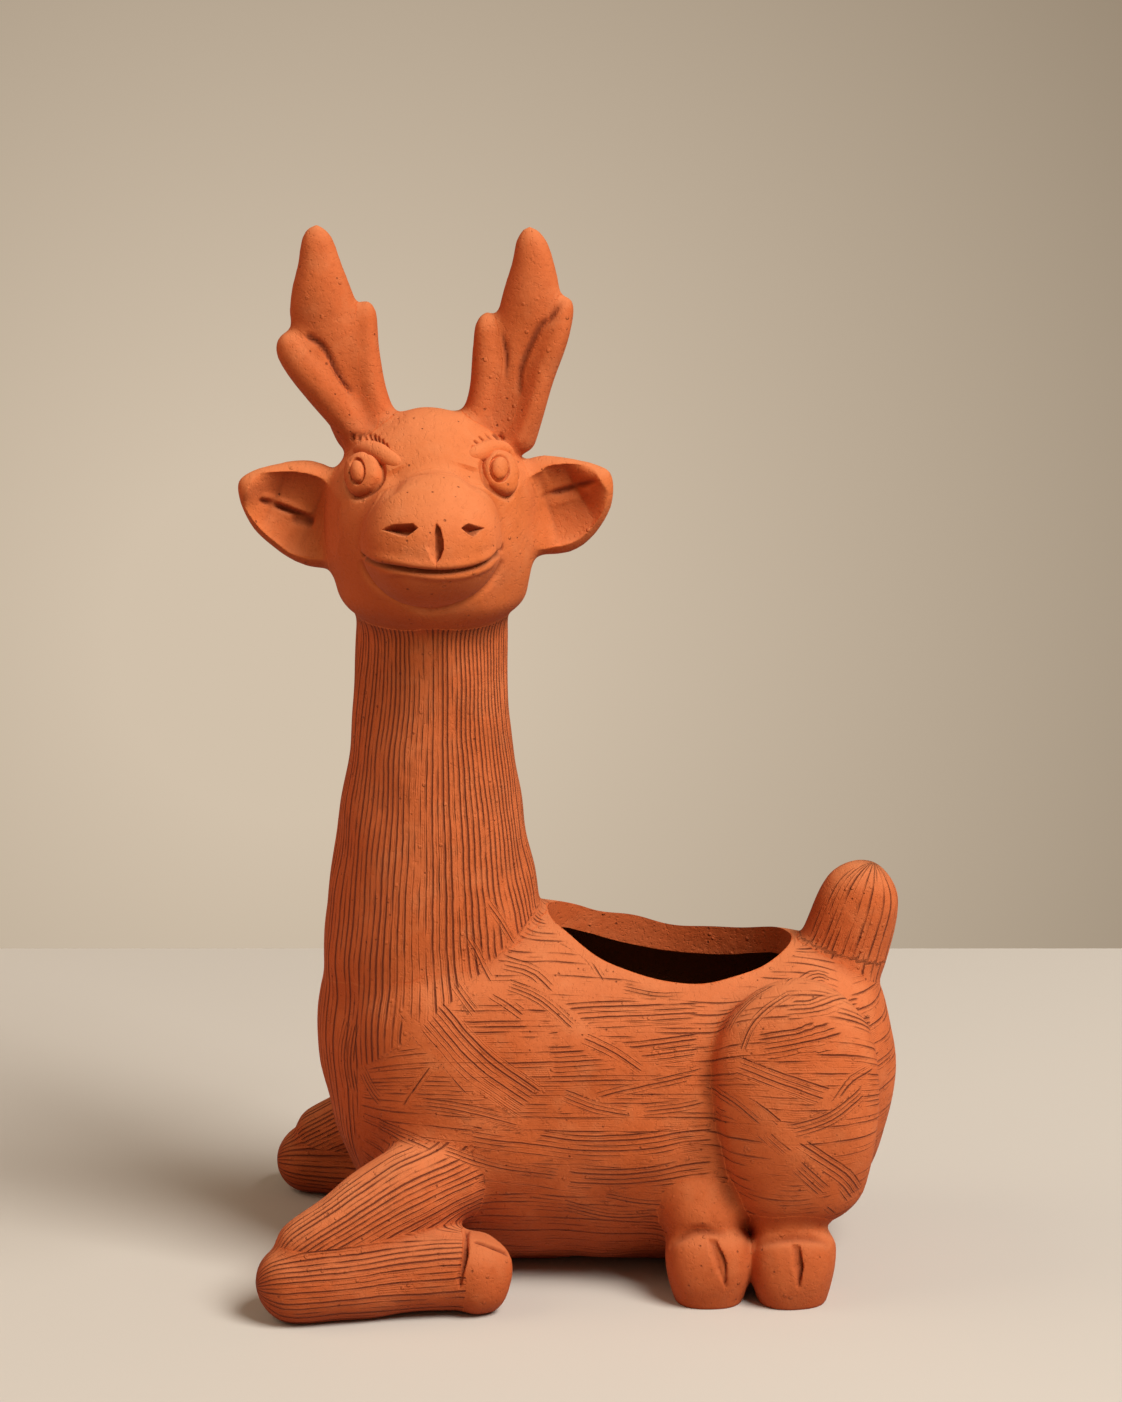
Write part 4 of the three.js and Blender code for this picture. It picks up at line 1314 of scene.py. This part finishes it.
    height = shade = 0.0
    for pattern, rise in reliefs:
        height = add(tree, "Math", (pattern, rise, height), "MULTIPLY_ADD")
    for pattern, strength in painted_shades:
        shade = add(tree, "Math", (pattern, strength, shade), "MULTIPLY_ADD")
    shade = add(tree, "Math", (shade, deepest_shade), "MINIMUM")
    # Painted shade: the pot's inner walls, apart from the cut face of the mouth, are darkened to an olive
    # brown.
    inside = add(tree, "Math", (scooped, past_mouth), "MULTIPLY")
    inside = add(tree, "Math", (inside, 0.8), "MULTIPLY")
    layers = [
        ((noises["cloud"], 0.35, 0.65, 0, 1), light),
        ((noises["blotch"], 0.5, 0.75, 0, 0.22), deep),
        ((noises["dust"], 0.52, 0.76, 0, 0.22), dust_and_top_light),
        ((noises["grain"], 0.6, 0.8, 0, 0.3), deep),
        # Painted light: clay that faces up is lighter, in the dust colour.
        ((facing, 0.3, 0.95, 0, 0.42), dust_and_top_light),
        # Painted shade: clay turned away from the window lamp is a deeper red.
        ((toward_lamp, 0.25, -0.35, 0, 0.8), shade_red),
        # Painted shade: clay in the lowest 6 cm and clay that faces down are browner.
        ((height_above_floor, 0.06, 0.0, 0, 0.35), under_shade_brown),
        ((facing, 0.0, -0.8, 0, 0.75), under_shade_brown),
        # The painted shade of the marks.
        ((shade, 0, 1, 0, 1), shade_brown),
        ((inside, 0, 1, 0, 1), inside_shade_brown),
    ]
    colour = from_srgb(body)
    for spread, tint in layers:
        amount = add(tree, "MapRange", spread)
        mixed = {0: amount, 6: colour, 7: from_srgb(tint)}
        colour = add(tree, "Mix", mixed, output=2, data_type="RGBA")
    bump = add(tree, "Bump", {"Strength": 1.0, "Distance": mm, "Height": height})
    rough_spread = (noises["grain"], 0.3, 0.7, clay_roughness - 0.06, clay_roughness + 0.08)
    rough = add(tree, "MapRange", rough_spread)
    sockets = {"Base Color": colour, "Roughness": rough, "Normal": bump, "Specular IOR Level": 0.32}
    shader = add(tree, "BsdfPrincipled", sockets)
    add(tree, "OutputMaterial", (shader,))
    return material


face_parts = ("head", "muzzle", "ear", "pad", "pupil", "brow")
combed_clay = fired_clay("combed_terracotta_clay", True, clay_light, clay_body, clay_deep)
smoothed_clay = fired_clay("smoothed_terracotta_clay", False, smooth_light, smooth_body, smooth_deep)
for name, piece in pieces.items():
    smoothed = name.endswith(face_parts)
    piece.data.materials.clear()
    piece.data.materials.append(smoothed_clay if smoothed else combed_clay)
    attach(piece, "root")
    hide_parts(name)


# The room
# A plain warm-grey table top of matt plaster, which shows no gloss, only the soft shadow; a pale
# room stands behind it, painted light round one bright spot and darker away from it as painted shade.
# All is lit softly from the upper right. The table's sizes are in metres.
floor_colour = "CFC8BD"
table_half_width = 1.1
table_back = 0.47
table_front = -1.6
room_colour = "D2C1AB"
room_shade_colour = "80705C"
daylight_colour = (1, 0.74, 0.52, 1)
daylight_strength = 0.17
brightest_way = (-0.06, 0.97, -0.22)
top = bmesh.new()
bmesh.ops.create_grid(top, x_segments=8, y_segments=8, size=1)
for vert in top.verts:
    vert.co.x *= table_half_width
    vert.co.y = table_front + (table_back - table_front) * (vert.co.y + 1) / 2
table_top = lay_out("table_top", top)
plaster = bpy.data.materials.new("matt_plaster")
plaster.use_nodes = True
tree = plaster.node_tree
tree.nodes.clear()
floor_sockets = {"Base Color": from_srgb(floor_colour), "Roughness": 0.9, "Specular IOR Level": 0.2}
add(tree, "OutputMaterial", (add(tree, "BsdfPrincipled", floor_sockets),))
table_top.data.materials.append(plaster)
table_top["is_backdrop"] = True

# A lamp's row gives its place, its size, its power in watts and the colour of its light.
lamps = {
    "window": ((1.66, -1.3, 2.8), 1.6, 136, (1, 0.98, 0.95)),
    "reflector": ((-1.7, -0.1, 1.4), 1.8, 13, (1, 0.8, 0.62)),
}
aim = Vector((0, 0, 0.2))
for name, (spot, size, power, tone) in lamps.items():
    light = bpy.data.lights.new(name, "AREA")
    light.size = size
    light.energy = power
    light.color = tone
    lamp = bpy.data.objects.new(name, light)
    lamp.location = spot
    lamp.rotation_euler = (aim - Vector(spot)).to_track_quat("-Z", "Y").to_euler()
    scene.collection.objects.link(lamp)
world = bpy.data.worlds.new("daylight")
world.use_nodes = True
tree = world.node_tree
tree.nodes.clear()
way = add(tree, "TexCoord")
# Painted light and shade on the room behind: lightest towards brightest_way, darker away from it.
from_brightest = add(tree, "VectorMath", (way, brightest_way), "DISTANCE", "Value")
fall = add(tree, "MapRange", (from_brightest, 0.04, 0.3))
shades = {0: fall, 6: from_srgb(room_colour), 7: from_srgb(room_shade_colour)}
seen = add(tree, "Mix", shades, output=2, data_type="RGBA")
seen = add(tree, "Background", (seen, 1.0))
daylight = add(tree, "Background", (daylight_colour, daylight_strength))
to_camera = add(tree, "LightPath")
both = add(tree, "MixShader", (to_camera, daylight, seen))
add(tree, "OutputWorld", (both,))
scene.world = world
scene.view_settings.view_transform = "Standard"

size = {"cad": [list(corner) for corner in cad_box], "visual": [list(corner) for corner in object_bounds()]}
